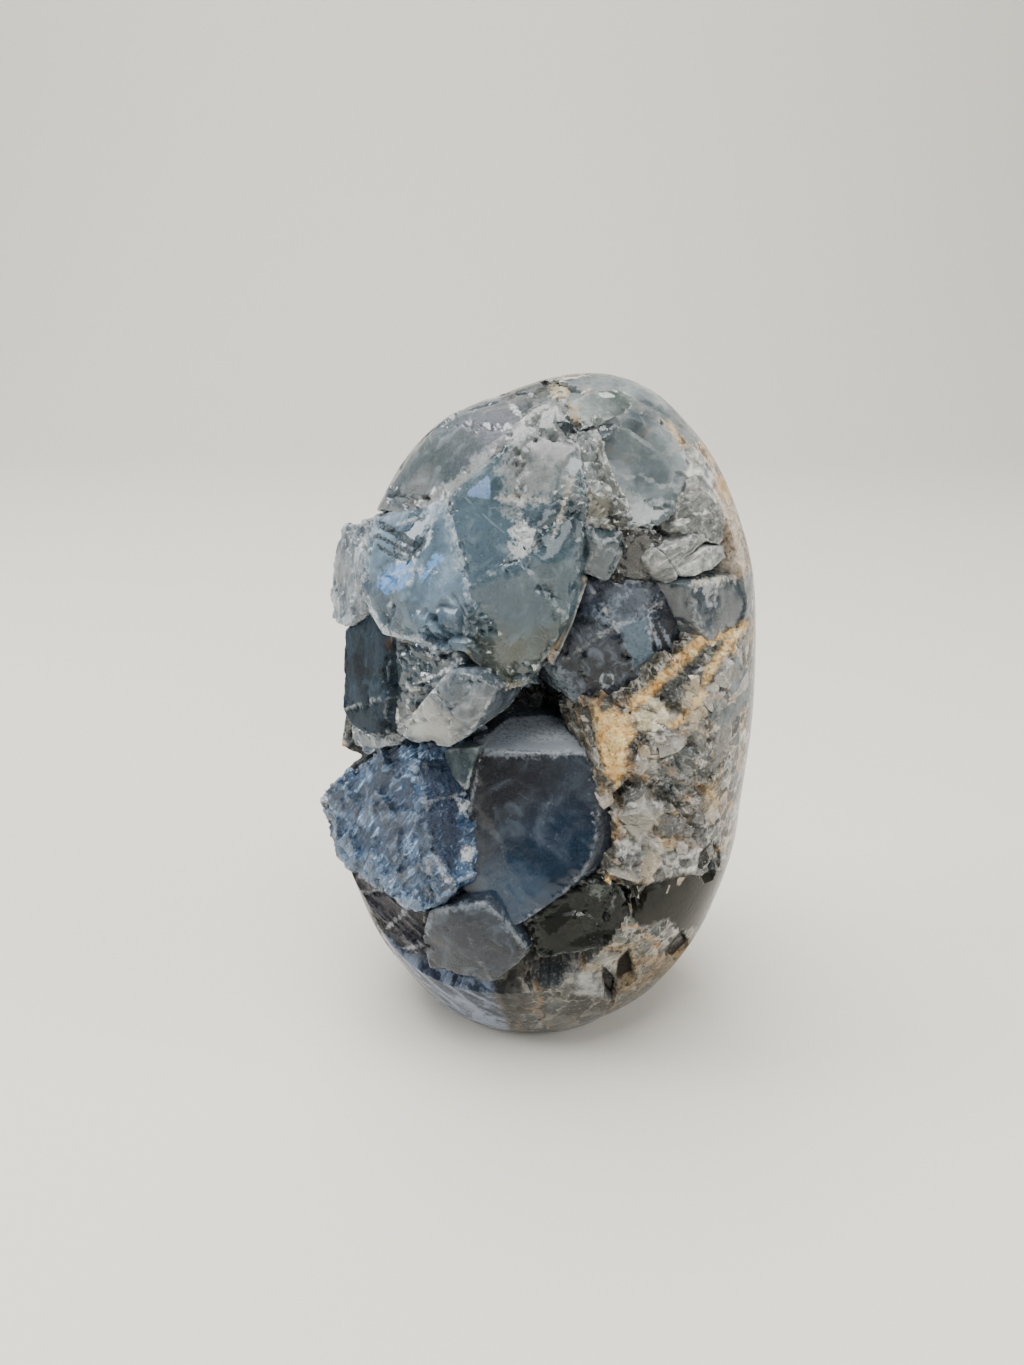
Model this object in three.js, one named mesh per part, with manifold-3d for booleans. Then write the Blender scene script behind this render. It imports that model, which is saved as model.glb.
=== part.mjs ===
import * as THREE from 'three';
import { ConvexGeometry } from 'three/addons/geometries/ConvexGeometry.js';
import { mergeVertices } from 'three/addons/utils/BufferGeometryUtils.js';
import Module from 'manifold-3d';

// A lump of crystal-lined celestite rock, ground to a standing egg with a flat foot and polished.
// On the front the grinding stopped short of the hollow, so its blocky crystals still show.
// Millimetres, +Z up. The crystals face -Y, and the origin is the middle of the flat foot.

const wasm = await Module();
wasm.setup();

const HEIGHT = 115;
const SIDES = 60;
const RINGS = 22;
const TINT = 0x7d8f9a;

// Sections of the ground egg from the foot up: height, the section's middle to the right of the axis,
// half its width, and how far it reaches to the front and to the back.
const EGG = [
  [0, 0, 14.5, 11.5, 11],
  [3, -2.7, 19.8, 15.5, 15],
  [10, -1.5, 25.5, 20, 19.5],
  [24, -1.5, 32, 25, 24],
  [42, -1.7, 35.3, 27.5, 26.5],
  [62, -0.2, 34.3, 27, 26],
  [82, 0.3, 32.2, 25, 24],
  [98, 0.9, 26.3, 20.5, 19.5],
  [108, 1.6, 18.5, 14.5, 14],
  [113, 4.6, 9.3, 7.2, 7.2],
  [HEIGHT, 5.5, 0.5, 0.5, 0.5],
];
const [MIDDLE, HALF_WIDTH, FRONT, BACK] = [1, 2, 3, 4];

// The rock behind the crystals is the same egg, shrunk about the stone's middle.
const CORE_SIZE = new THREE.Vector3(0.7, 0.6, 0.86);
const STONE_MIDDLE = new THREE.Vector3(0, 0, HEIGHT / 2);

// The front view, which places every crystal: an eye in front of the stone and above it looks down
// by VIEW_TILT. A place in the view is counted in steps across and down a drawing sheet behind the
// stone. A corner stands out of the sheet by so many millimetres, or lies so deep under the skin.
const EYE = new THREE.Vector3(-6.2, -156, 137.7);
const VIEW_TILT = THREE.MathUtils.degToRad(25);
const SHEET_DISTANCE = 205.4;
const SHEET_STEP = 0.2;
const SHEET_CENTRE = [512, 682.5];
const SHEET_UP = new THREE.Vector3(0, Math.sin(VIEW_TILT), Math.cos(VIEW_TILT));
const VIEW_AXIS = new THREE.Vector3(0, Math.cos(VIEW_TILT), -Math.sin(VIEW_TILT));

// A height is turned into an angle, 0 at the foot and PI at the top, so that the top comes out round.
const angleAt = (height) => Math.acos(THREE.MathUtils.clamp(1 - (2 * height) / HEIGHT, -1, 1));
const ANGLES = EGG.map((row) => angleAt(row[0]));

// Slopes of a smooth curve through one column of the sections that never overshoots them.
function slopesOf(column) {
  const steps = EGG.slice(1).map((row, i) => (row[column] - EGG[i][column]) / (ANGLES[i + 1] - ANGLES[i]));
  return EGG.map((row, i) => {
    if (i === 0) return steps[0];
    if (i === steps.length) return steps[i - 1];
    const [before, after] = [steps[i - 1], steps[i]];
    return before * after > 0 ? (2 * before * after) / (before + after) : 0;
  });
}
const SLOPES = EGG[0].map((_, column) => slopesOf(column));

function section(column, height) {
  const angle = angleAt(height);
  const i = Math.min(ANGLES.findLastIndex((a) => a <= angle), EGG.length - 2);
  const span = ANGLES[i + 1] - ANGLES[i];
  const t = (angle - ANGLES[i]) / span;
  const rise = EGG[i + 1][column] - EGG[i][column];
  const [leave, arrive] = [SLOPES[column][i] * span, SLOPES[column][i + 1] * span];
  return EGG[i][column] + t * (leave + t * (3 * rise - 2 * leave - arrive + t * (leave + arrive - 2 * rise)));
}

// Below 1 inside the egg, 1 on its skin and above 1 outside.
function fill(p) {
  if (p.z < 0 || p.z > HEIGHT) return 9;
  const across = (p.x - section(MIDDLE, p.z)) / section(HALF_WIDTH, p.z);
  const along = p.y / section(p.y < 0 ? FRONT : BACK, p.z);
  return across * across + along * along;
}

function sheetPoint(x, y) {
  return EYE.clone()
    .addScaledVector(VIEW_AXIS, SHEET_DISTANCE)
    .add(new THREE.Vector3((x - SHEET_CENTRE[0]) * SHEET_STEP, 0, 0))
    .addScaledVector(SHEET_UP, (SHEET_CENTRE[1] - y) * SHEET_STEP);
}

// The point seen at x, y of the front view that stands `out` millimetres out of the sheet.
function seen(x, y, out) {
  return sheetPoint(x, y).lerp(EYE, out / SHEET_DISTANCE);
}

// The point seen at x, y that lies `depth` millimetres behind the egg's skin.
function skin(x, y, depth = 0) {
  let [best, least] = [0, Infinity];
  for (let out = 90; out > -20; out -= 1) {
    const filled = fill(seen(x, y, out));
    if (filled < least) [best, least] = [out, filled];
    if (filled < 1) break;
  }
  let [outside, inside] = [best + 1, best];
  for (let i = 0; i < 12 && least < 1; i += 1) {
    const middle = (outside + inside) / 2;
    if (fill(seen(x, y, middle)) < 1) inside = middle;
    else outside = middle;
  }
  return seen(x, y, inside - depth);
}

function solidOf(geometry) {
  const bare = geometry.clone();
  bare.deleteAttribute('normal');
  bare.deleteAttribute('uv');
  const merged = mergeVertices(bare, 1e-4);
  return new wasm.Manifold(new wasm.Mesh({
    numProp: 3,
    vertProperties: new Float32Array(merged.attributes.position.array),
    triVerts: new Uint32Array(merged.index.array),
  }));
}

function hull(points) {
  return solidOf(new ConvexGeometry(points));
}

function eggPoints() {
  const points = [];
  for (let ring = 0; ring <= RINGS; ring += 1) {
    const z = (HEIGHT * (1 - Math.cos((Math.PI * ring) / RINGS))) / 2;
    for (let i = 0; i < SIDES; i += 1) {
      const turn = (2 * Math.PI * i) / SIDES;
      const x = section(MIDDLE, z) + Math.cos(turn) * section(HALF_WIDTH, z);
      const y = Math.sin(turn) * section(Math.sin(turn) < 0 ? FRONT : BACK, z);
      points.push(new THREE.Vector3(x, y, z));
    }
  }
  return points;
}

function core() {
  return hull(eggPoints().map((p) => p.sub(STONE_MIDDLE).multiply(CORE_SIZE).add(STONE_MIDDLE)));
}

// A crystal shows the corners that are given, and narrows a little towards its root in the rock.
function crystal(corners, rootDepth = 16, rootSize = 0.8) {
  const middle = corners.reduce((sum, p) => sum.add(p), new THREE.Vector3()).divideScalar(corners.length);
  const inward = new THREE.Vector3(-middle.x, -middle.y, 0).normalize();
  const root = corners.map((p) => middle.clone().lerp(p, rootSize).addScaledVector(inward, rootDepth));
  return hull([...corners, ...root]);
}

// A piece cut out of the stone: an outline in the front view, from above the skin down to a floor.
function pocket(outline, floor, above = 6) {
  return hull(outline.flatMap(([x, y]) => [skin(x, y, -above), skin(x, y, floor)]));
}

// A broken slope: each corner of its outline has its own depth under the skin.
function slope(corners, above = 5) {
  return hull(corners.flatMap(([x, y, depth]) => [skin(x, y, -above), skin(x, y, depth)]));
}

// The great clear crystals of the upper left, worn smooth where the grinding touched them.
function crownFacet() {
  return crystal([
    skin(505, 396, 0.4), skin(464, 409, 0.3), skin(440, 424, 0.3), skin(409, 453, 0.3), skin(386, 494, 0.4),
    skin(376, 511, 0.6), skin(423, 520, 1.4), skin(446, 498, 0), skin(519, 433, 0), skin(556, 404, 0.2),
    skin(530, 390, 0.6), seen(464, 409, 32), seen(409, 453, 29), seen(384, 498, 27),
  ], 14, 0.9);
}

function leftLobe() {
  return crystal([
    skin(374, 515, 0.8), skin(373, 534, 1), skin(362, 584, 1), skin(362, 600, 1.5), skin(383, 635, 2.5),
    skin(423, 641, 2.5), skin(463, 650, 2.6), skin(469, 585, 0.4), skin(463, 567, 0), skin(446, 500, 0),
    skin(423, 516, 0.4), skin(398, 572, 0),
  ], 15, 0.9);
}

function middleLobe() {
  return crystal([
    skin(446, 498, 0), skin(519, 433, 0), skin(556, 408, 0.4), skin(580, 448, 1.4), skin(587, 500, 2),
    skin(581, 560, 3), skin(567, 620, 4), skin(550, 653, 5.5), skin(527, 679, 6.5), skin(511, 693, 7),
    skin(496, 689, 6), skin(463, 650, 3), skin(466, 585, 0.3), skin(520, 560, 0),
  ], 16, 0.9);
}

// The small clear block that stands out at the far left.
function sideBlock() {
  return crystal([
    seen(368, 519, 47), seen(373, 534, 48), seen(365, 567, 48), seen(361, 590, 48), seen(368, 609, 48.5),
    seen(345, 625, 42), seen(335, 619, 39), seen(333, 592, 38.5), seen(335, 560, 38.5), seen(337, 546, 39),
    seen(342, 532, 41), seen(353, 527, 44), seen(346, 550, 30), seen(344, 608, 29),
  ], 12, 0.8);
}

// The slate block, its ledge and the two crystals that hang beside it over the hollow.
function slateBlock() {
  return crystal([
    seen(392, 638, 53), seen(384, 698, 51), seen(388, 736, 46), seen(371, 737, 41), seen(353, 727, 35),
    seen(343, 709, 35), seen(345, 628, 38), seen(368, 609, 46), seen(354, 640, 26), seen(353, 700, 25),
  ], 12, 0.85);
}

function ledge() {
  return crystal([
    seen(352, 727, 33), seen(353, 742, 32), seen(371, 754, 36), seen(386, 746, 40), seen(405, 739, 43),
    seen(400, 700, 45), seen(360, 690, 36),
  ], 14, 0.9);
}

function ridgedCrystal() {
  return crystal([
    skin(392, 615, 4.5), skin(455, 630, 4.5), skin(393, 640, 2.8), skin(456, 666, 1.8), skin(440, 684, 2),
    skin(421, 709, 3), skin(406, 722, 4), skin(403, 737, 6), skin(388, 736, 6), skin(384, 698, 4),
    skin(410, 690, 2.2),
  ], 12, 0.9);
}

function palePendant() {
  return crystal([
    skin(430, 693, 0.3), skin(449, 671, 0.2), skin(475, 676, 0.4), skin(496, 689, 2), skin(492, 698, 2.4),
    skin(482, 716, 3), skin(468, 736, 4.5), skin(449, 747, 5.5), skin(413, 742, 6), skin(403, 736, 5),
    skin(406, 722, 3), skin(450, 712, 0.2),
  ], 11, 0.85);
}

// The broken blue wedge at the lower left, whose tip is the stone's widest point, and its shard.
function blueWedge() {
  return crystal([
    seen(323, 800, 29), seen(327, 792, 29.5), seen(345, 777, 33), seen(370, 757, 37), seen(405, 739, 41),
    seen(425, 746, 43), seen(425, 802, 47.5), seen(430, 854, 47), seen(446, 759, 40), seen(456, 792, 41),
    seen(465, 806, 42), seen(461, 857, 42.5), seen(455, 884, 45), seen(430, 907, 42.5), seen(413, 911, 40.5),
    seen(389, 890, 38.5), seen(351, 870, 31.5), seen(339, 856, 28.5), seen(325, 808, 26.5),
    seen(340, 806, 22), seen(352, 850, 22),
  ], 12, 0.85);
}

function shard() {
  return crystal([
    seen(444, 757, 39), seen(451, 763, 42), seen(467, 789, 42), seen(472, 745, 38), seen(452, 800, 38),
  ], 12);
}

// The great tabular crystal: a broad face, a bevel along its top and a narrow facet at the right.
function tablet() {
  return crystal([
    seen(481, 750, 46), seen(588, 753, 47), seen(603, 790, 47), seen(621, 802, 44), seen(626, 825, 42),
    seen(617, 857, 42), seen(598, 823, 47), seen(595, 849, 47), seen(581, 876, 46.5), seen(560, 897, 45.8),
    seen(515, 928, 43.5), seen(455, 885, 41), seen(465, 830, 43), seen(466, 790, 43), seen(474, 755, 43),
    seen(473, 737, 40), seen(496, 727, 38), seen(510, 714, 36), seen(555, 711, 36), seen(575, 718, 38),
  ], 20, 0.85);
}

// The dark crystal in the right of the hollow, and the slender clear one along its left edge.
function darkCrystal() {
  return crystal([
    seen(551, 669, 50), seen(566, 623, 54), seen(584, 577, 57), seen(664, 582, 57), seen(681, 583, 56),
    seen(702, 626, 52.5), seen(699, 633, 52), seen(669, 666, 51), seen(640, 697, 49), seen(628, 711, 47.5),
    seen(613, 709, 48), seen(591, 704, 48), seen(575, 704, 46.5), seen(614, 626, 57.5), seen(648, 618, 58),
    seen(657, 666, 53.5), seen(636, 673, 53.5),
  ], 18, 0.85);
}

function slenderCrystal() {
  return crystal([
    seen(579, 570, 58), seen(589, 578, 58), seen(574, 623, 56), seen(560, 652, 54), seen(551, 670, 51.5),
    seen(546, 655, 53), seen(566, 610, 56),
  ], 10);
}

// Crystals that hang from the polished brow over the dark one.
function tooth() {
  return crystal([
    skin(579, 519, 3), skin(629, 530, 3.5), skin(622, 556, 4.2), skin(613, 576, 5.5), skin(606, 582, 6),
    skin(583, 572, 5.5), skin(600, 545, 2.5),
  ], 12);
}

function browCrystal() {
  return crystal([
    skin(618, 526, 3), skin(662, 530, 3), skin(668, 560, 5), skin(652, 588, 7.5), skin(615, 590, 8),
    skin(612, 556, 5.5),
  ], 10);
}

function cleavagePieces() {
  return crystal([
    skin(648, 541, 3.4), skin(664, 532, 2.4), skin(694, 528, 1.4), skin(719, 557, 0.6), skin(712, 580, 1.2),
    skin(680, 584, 3.6), skin(662, 578, 4.4),
  ], 9);
}

// The polished brow over them: a broad scooped crystal, a smooth patch beside the dark bay, a pale
// lens at the top, worn chips of the crown, and a narrow crystal down the seam beside the lobes.
function scoopedBrow() {
  return crystal([
    skin(628, 409, 0.8), skin(666, 431, 0.3), skin(688, 462, 0.4), skin(696, 484, 0.9), skin(680, 500, 1.5),
    skin(661, 526, 2.2), skin(640, 528, 2.6), skin(612, 514, 2.4), skin(590, 481, 2.2), skin(583, 452, 1.6),
    skin(586, 430, 1),
  ], 10, 0.9);
}

function browPatch() {
  return crystal([
    skin(684, 584, 1.4), skin(718, 578, 0.4), skin(753, 572, 0), skin(753, 618, 0), skin(712, 642, 0.3),
    skin(698, 628, 1.4),
  ], 12, 0.9);
}

function paleLens() {
  return crystal([
    skin(567, 404, -0.2), skin(593, 392, -0.2), skin(623, 389, -0.2), skin(637, 400, -0.2),
    skin(626, 412, -0.2), skin(603, 422, -0.2), skin(583, 430, 0), skin(569, 421, 0),
  ], 8, 0.9);
}

function crownChips() {
  return crystal([
    skin(497, 399, 0), skin(520, 384, 0), skin(548, 379, 0), skin(566, 390, 0.2), skin(574, 418, 0.6),
    skin(556, 430, 1), skin(526, 416, 0.4),
  ], 10, 0.9);
}

function seamCrystal() {
  return crystal([
    skin(576, 432, 1.6), skin(592, 426, 0.6), skin(600, 480, 1.2), skin(616, 494, 1), skin(634, 514, 0.8),
    skin(628, 532, 3), skin(580, 524, 3.2), skin(572, 486, 2.6),
  ], 12, 0.9);
}

// The banks of packed, broken grains that fall away from the right rim to the hollow.
function upperBank() {
  return crystal([
    skin(700, 636, 1.8), skin(742, 630, 0.2), skin(746, 660, 0.2), skin(726, 700, 0.3), skin(690, 722, 1.2),
    skin(650, 744, 3), skin(634, 724, 4.6), skin(630, 709, 6), skin(664, 672, 4.2),
  ], 10, 0.95);
}

function middleBank() {
  return crystal([
    skin(634, 724, 4.8), skin(652, 742, 3.2), skin(690, 722, 1.4), skin(718, 700, 0.4), skin(718, 790, 0.3),
    skin(690, 822, 0.8), skin(640, 812, 4), skin(628, 790, 5.4), skin(628, 750, 5),
  ], 10, 0.95);
}

function lowerBank() {
  return crystal([
    skin(630, 806, 5.6), skin(652, 800, 3.6), skin(700, 800, 0.6), skin(716, 858, 0.2), skin(690, 874, 0.4),
    skin(634, 888, 2), skin(606, 886, 3.4), skin(622, 858, 5.6),
  ], 10, 0.95);
}

// The lump of rock, caked with orange clay, between the dark crystal and the tablet.
function clayedLump() {
  return crystal([
    skin(592, 704, 9), skin(626, 712, 5.5), skin(642, 728, 4), skin(624, 746, 4.4), skin(630, 776, 4.6),
    skin(615, 792, 5.4), skin(604, 808, 6.6), skin(599, 765, 7.4), skin(590, 735, 9.6),
  ], 12, 0.95);
}

// The broken crystals at the lower left and under the tablet.
function purpleBreak() {
  return crystal([
    skin(340, 858, 2), skin(393, 890, 4), skin(420, 898, 3.6), skin(434, 925, 2.6), skin(434, 950, 0.2),
    skin(393, 956, 0), skin(374, 934, 0.3), skin(349, 894, 0.6),
  ], 14, 0.95);
}

function greyCrystal() {
  return crystal([
    skin(429, 911, 0.8), skin(441, 907, 0.6), skin(482, 903, 1), skin(499, 917, 0.8), skin(528, 950, 0.2),
    skin(523, 960, 0.1), skin(492, 983, 0), skin(429, 968, 0), skin(422, 935, 0.4), skin(466, 935, -0.4),
  ], 14, 0.95);
}

function oliveCrystals() {
  return crystal([
    skin(524, 925, 2.4), skin(581, 880, 3.4), skin(618, 884, 2.4), skin(645, 932, 0.3), skin(600, 948, 0),
    skin(540, 960, 0),
  ], 14, 0.95);
}

// The hollow that the crystals line: a wide cut on the front and left, and the dark crystal's bay.
function crystalHollow() {
  const outline = [
    [470, 400, 44], [532, 404, 50], [573, 440, 54], [584, 560, 50], [628, 730, 45], [628, 860, 40],
    [560, 918, 34], [430, 945, 28], [340, 940, 26], [290, 860, 25], [290, 500, 29], [372, 440, 37],
  ];
  return hull(outline.flatMap(([x, y, out]) => [seen(x, y, 84), seen(x, y, out)]));
}

// The notch in the left side, between the ledge and the wedge.
function sideNotch() {
  const outline = [[318, 738], [372, 753], [322, 790]];
  return hull(outline.flatMap(([x, y]) => [seen(x, y, 60), seen(x, y, -20)]));
}

function darkBay() {
  const outline = [
    [574, 528], [640, 540], [686, 566], [704, 628], [644, 706], [634, 760], [612, 800], [560, 690],
  ];
  return pocket(outline, 13);
}

// The black mouth over the tablet, between the upper crystals and the dark one.
function mouth() {
  const outline = [
    [492, 696], [514, 692], [535, 672], [552, 668], [578, 704], [590, 724], [584, 745], [488, 742],
  ];
  return pocket(outline, 26);
}

// Old shell-shaped breaks that the polishing only softened: place, radius and how deep the bowl bites.
const SCOOPS = [
  [654, 450, 17, 2.6],
  [612, 482, 9, 2.4],
  [700, 548, 11, 1.8],
];

function scoop([x, y, radius, bite]) {
  const bowl = new THREE.IcosahedronGeometry(radius, 2);
  const centre = skin(x, y, bite - radius);
  return solidOf(bowl.translate(centre.x, centre.y, centre.z));
}

// Right of the hollow the grains of the rock are broken, not ground, and fall away towards the tablet.
function grainSlopes() {
  return [
    slope([[634, 712, 4], [704, 634, 2.4], [742, 632, 0], [728, 690, 0.2], [690, 720, 2], [650, 760, 3.6]]),
    slope([[612, 800, 6], [650, 744, 3.4], [706, 722, 0.6], [714, 800, 0.3], [668, 838, 1.6], [628, 850, 5]]),
    slope([[606, 850, 5.6], [640, 826, 4], [700, 812, 0.3], [690, 866, 0.2], [634, 886, 1.8], [596, 884, 4]]),
  ];
}

// Single grains that broke away: place in the view, how wide and how deep.
const CHIPS = [
  [655, 738, 16, 5.4], [690, 690, 14, 3.8], [668, 790, 13, 4.2], [640, 812, 12, 6], [700, 760, 11, 2.6],
  [652, 858, 12, 4.4], [722, 660, 10, 1.6], [686, 838, 10, 2.4], [598, 976, 9, 2], [570, 980, 10, 1.6],
  [556, 398, 10, 1.6], [576, 415, 8, 2.2], [736, 560, 9, 1.4], [716, 516, 8, 1.4], [636, 902, 9, 1.2],
];

function chip([x, y, width, depth]) {
  const corners = [[-1, -0.3], [-0.2, -1], [0.9, -0.6], [1, 0.4], [0.1, 1], [-0.8, 0.6]];
  const ring = (size, below) => corners.map(([u, v]) => skin(x + u * size, y + v * size, below));
  return hull([...ring(width, -0.8), ...ring(width * 0.55, depth)]);
}

// Small open pits along the lower right, where the grinding broke into gaps between the grains.
const PITS = [
  [[697, 871], [700, 853], [711, 842], [713, 857], [706, 872]],
  [[663, 951], [682, 930], [686, 941], [672, 955]],
  [[629, 948], [633, 969], [616, 977], [618, 961]],
  [[602, 965], [615, 978], [611, 993], [603, 984]],
  [[539, 948], [551, 946], [560, 961], [550, 967], [539, 960]],
];
const PIT_DEPTH = 4;

const cutFrom = (solid, pieces) => pieces.reduce((rest, piece) => rest.subtract(piece), solid);
const joinedTo = (solid, pieces) => pieces.reduce((rest, piece) => rest.add(piece), solid);

// The stone without the small gaps that the crystals close off behind them: rock fills those.
function filledUp(solid) {
  return solid.decompose().reduce((best, shell) => (shell.volume() > best.volume() ? shell : best));
}

// Small gaps between the grains on the back: right of the axis, height, radius and how deep they bite.
const BACK_GAPS = [
  [-14, 78, 4, 2.2], [9, 61, 3.2, 1.8], [16, 34, 4.6, 2.4], [-8, 27, 3, 1.6], [3, 96, 3, 1.4],
];

function backGap([x, z, radius, bite]) {
  const across = (x - section(MIDDLE, z)) / section(HALF_WIDTH, z);
  const y = section(BACK, z) * Math.sqrt(1 - across * across) - bite + radius;
  return solidOf(new THREE.IcosahedronGeometry(radius, 1).scale(1.3, 1, 0.8).translate(x, y, z));
}

function celestiteCluster() {
  const ground = hull(eggPoints());
  const groundCrystals = [
    crownFacet(), leftLobe(), middleLobe(), ledge(), ridgedCrystal(), palePendant(), shard(), tablet(),
    darkCrystal(), slenderCrystal(), tooth(), browCrystal(), cleavagePieces(), clayedLump(), purpleBreak(),
    greyCrystal(), oliveCrystals(), scoopedBrow(), browPatch(), paleLens(), crownChips(), seamCrystal(),
    upperBank(), middleBank(), lowerBank(),
  ].map((crystalPiece) => crystalPiece.intersect(ground));
  const wholeCrystals = [sideBlock(), slateBlock(), blueWedge()];
  const rind = cutFrom(ground, [crystalHollow(), darkBay(), ...grainSlopes()]);
  const rock = cutFrom(rind.add(core()), [mouth(), sideNotch()]);
  const breaks = [
    ...SCOOPS.map(scoop), ...CHIPS.map(chip), ...PITS.map((outline) => pocket(outline, PIT_DEPTH, 2)),
    ...BACK_GAPS.map(backGap),
  ];
  return filledUp(cutFrom(joinedTo(rock, [...groundCrystals, ...wholeCrystals]), breaks));
}

function meshOf(solid, name, material) {
  const { vertProperties, triVerts } = solid.getMesh();
  const geometry = new THREE.BufferGeometry();
  geometry.setAttribute('position', new THREE.BufferAttribute(new Float32Array(vertProperties), 3));
  geometry.setIndex(new THREE.BufferAttribute(new Uint32Array(triVerts), 1));
  geometry.computeVertexNormals();
  const mesh = new THREE.Mesh(geometry, material);
  mesh.name = name;
  return mesh;
}

const celestite = new THREE.MeshStandardMaterial({ color: TINT, roughness: 0.25, metalness: 0 });
const group = new THREE.Group();
group.add(meshOf(celestiteCluster(), 'celestite_cluster', celestite));

export default group;
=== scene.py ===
import math
import random

import bmesh
import bpy
from mathutils import Color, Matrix, Vector, kdtree, noise
from mathutils.bvhtree import BVHTree


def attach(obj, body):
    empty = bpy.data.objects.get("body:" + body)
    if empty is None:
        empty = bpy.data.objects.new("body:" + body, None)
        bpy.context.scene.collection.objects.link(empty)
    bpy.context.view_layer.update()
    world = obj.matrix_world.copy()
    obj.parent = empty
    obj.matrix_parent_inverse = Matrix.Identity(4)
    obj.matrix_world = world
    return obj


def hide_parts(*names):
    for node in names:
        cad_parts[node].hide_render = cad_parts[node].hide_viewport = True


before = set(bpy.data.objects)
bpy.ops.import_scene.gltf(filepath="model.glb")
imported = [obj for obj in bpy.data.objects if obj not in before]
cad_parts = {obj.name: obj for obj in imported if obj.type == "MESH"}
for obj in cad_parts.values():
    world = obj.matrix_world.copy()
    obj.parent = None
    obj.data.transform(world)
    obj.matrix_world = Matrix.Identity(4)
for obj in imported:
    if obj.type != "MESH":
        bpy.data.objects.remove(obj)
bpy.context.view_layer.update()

# The front view, from an eye in front of the stone and above it. It is drawn as if on a sheet that
# stands 205.4 mm from the eye. Everything is modelled in millimetres, +Z up, with the crystals
# towards -Y, and set down in metres.
MM = 0.001
EYE = Vector((-6.2, -156, 137.7))
VIEW_TILT = math.radians(25)
SHEET_DISTANCE = 205.4
SHEET_STEP = 0.2
PICTURE_HEIGHT = 1365
FILM_WIDTH = 36

camera = bpy.data.objects.new("camera", bpy.data.cameras.new("camera"))
camera.location = EYE * MM
camera.rotation_euler = (math.radians(90) - VIEW_TILT, 0, 0)
camera.data.sensor_width = FILM_WIDTH
camera.data.lens = FILM_WIDTH * SHEET_DISTANCE / SHEET_STEP / PICTURE_HEIGHT
camera.data.clip_start = 0.01
bpy.context.collection.objects.link(camera)
bpy.context.scene.camera = camera

# Soft studio light: a broad box overhead, a low one at either side and a weak one at the front, in
# a pale room. All of them point at the middle of the stone.
LIT_SPOT = Vector((0, 0, 0.06))


def soft_box(name, place, size, watts, tint):
    """A lamp with a broad face, turned to the stone."""
    lamp = bpy.data.objects.new(name, bpy.data.lights.new(name, "AREA"))
    lamp.data.shape = "RECTANGLE"
    lamp.data.size, lamp.data.size_y = size
    lamp.data.energy = watts
    lamp.data.color = tint
    lamp.location = place
    lamp.rotation_euler = (LIT_SPOT - Vector(place)).to_track_quat("-Z", "Y").to_euler()
    bpy.context.collection.objects.link(lamp)


soft_box("overhead_light", (-0.08, -0.04, 0.75), (0.7, 0.5), 13, (1.0, 0.98, 0.95))
soft_box("left_light", (-0.74, -0.02, 0.34), (0.25, 0.3), 4.5, (0.93, 0.97, 1.0))
soft_box("front_light", (0.34, -0.66, 0.5), (0.3, 0.3), 1.5, (0.95, 0.98, 1.0))
soft_box("side_light", (0.6, -0.15, 0.3), (0.3, 0.4), 2.5, (1.0, 0.98, 0.95))

room = bpy.data.worlds.new("room")
room.use_nodes = True
room_light = room.node_tree.nodes["Background"].inputs
room_light["Color"].default_value = (0.86, 0.9, 0.95, 1)
room_light["Strength"].default_value = 0.2
bpy.context.scene.world = room


# The floor: a plain pale sheet of matt card that sweeps up, in a quarter round, to a pale wall well
# behind the stone.
class Value:
    """A number, colour or direction inside a finish. Plain arithmetic on it adds the nodes."""

    def __init__(self, finish, socket):
        self.finish, self.socket = finish, socket

    def math(self, operation, *numbers):
        """One step of arithmetic, as a node."""
        values = dict(enumerate(numbers))
        return self.finish.node("ShaderNodeMath", {"operation": operation}, values)["Value"]

    def __add__(self, other):
        return self.math("ADD", self, other)

    def __sub__(self, other):
        return self.math("SUBTRACT", self, other)

    def __rsub__(self, other):
        return self.math("SUBTRACT", other, self)

    def __mul__(self, other):
        return self.math("MULTIPLY", self, other)

    def __abs__(self):
        return self.math("ABSOLUTE", self)

    def lower(self, other):
        return self.math("MINIMUM", self, other)

    def higher(self, other):
        return self.math("MAXIMUM", self, other)

    def ramp(self, start, end, low=0, high=1):
        """A smooth rise from low to high as the value goes from start to end."""
        settings = {"interpolation_type": "SMOOTHSTEP"}
        values = {"Value": self, "From Min": start, "From Max": end, "To Min": low, "To Max": high}
        return self.finish.node("ShaderNodeMapRange", settings, values)["Result"]

    __radd__, __rmul__ = __add__, __mul__


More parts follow.
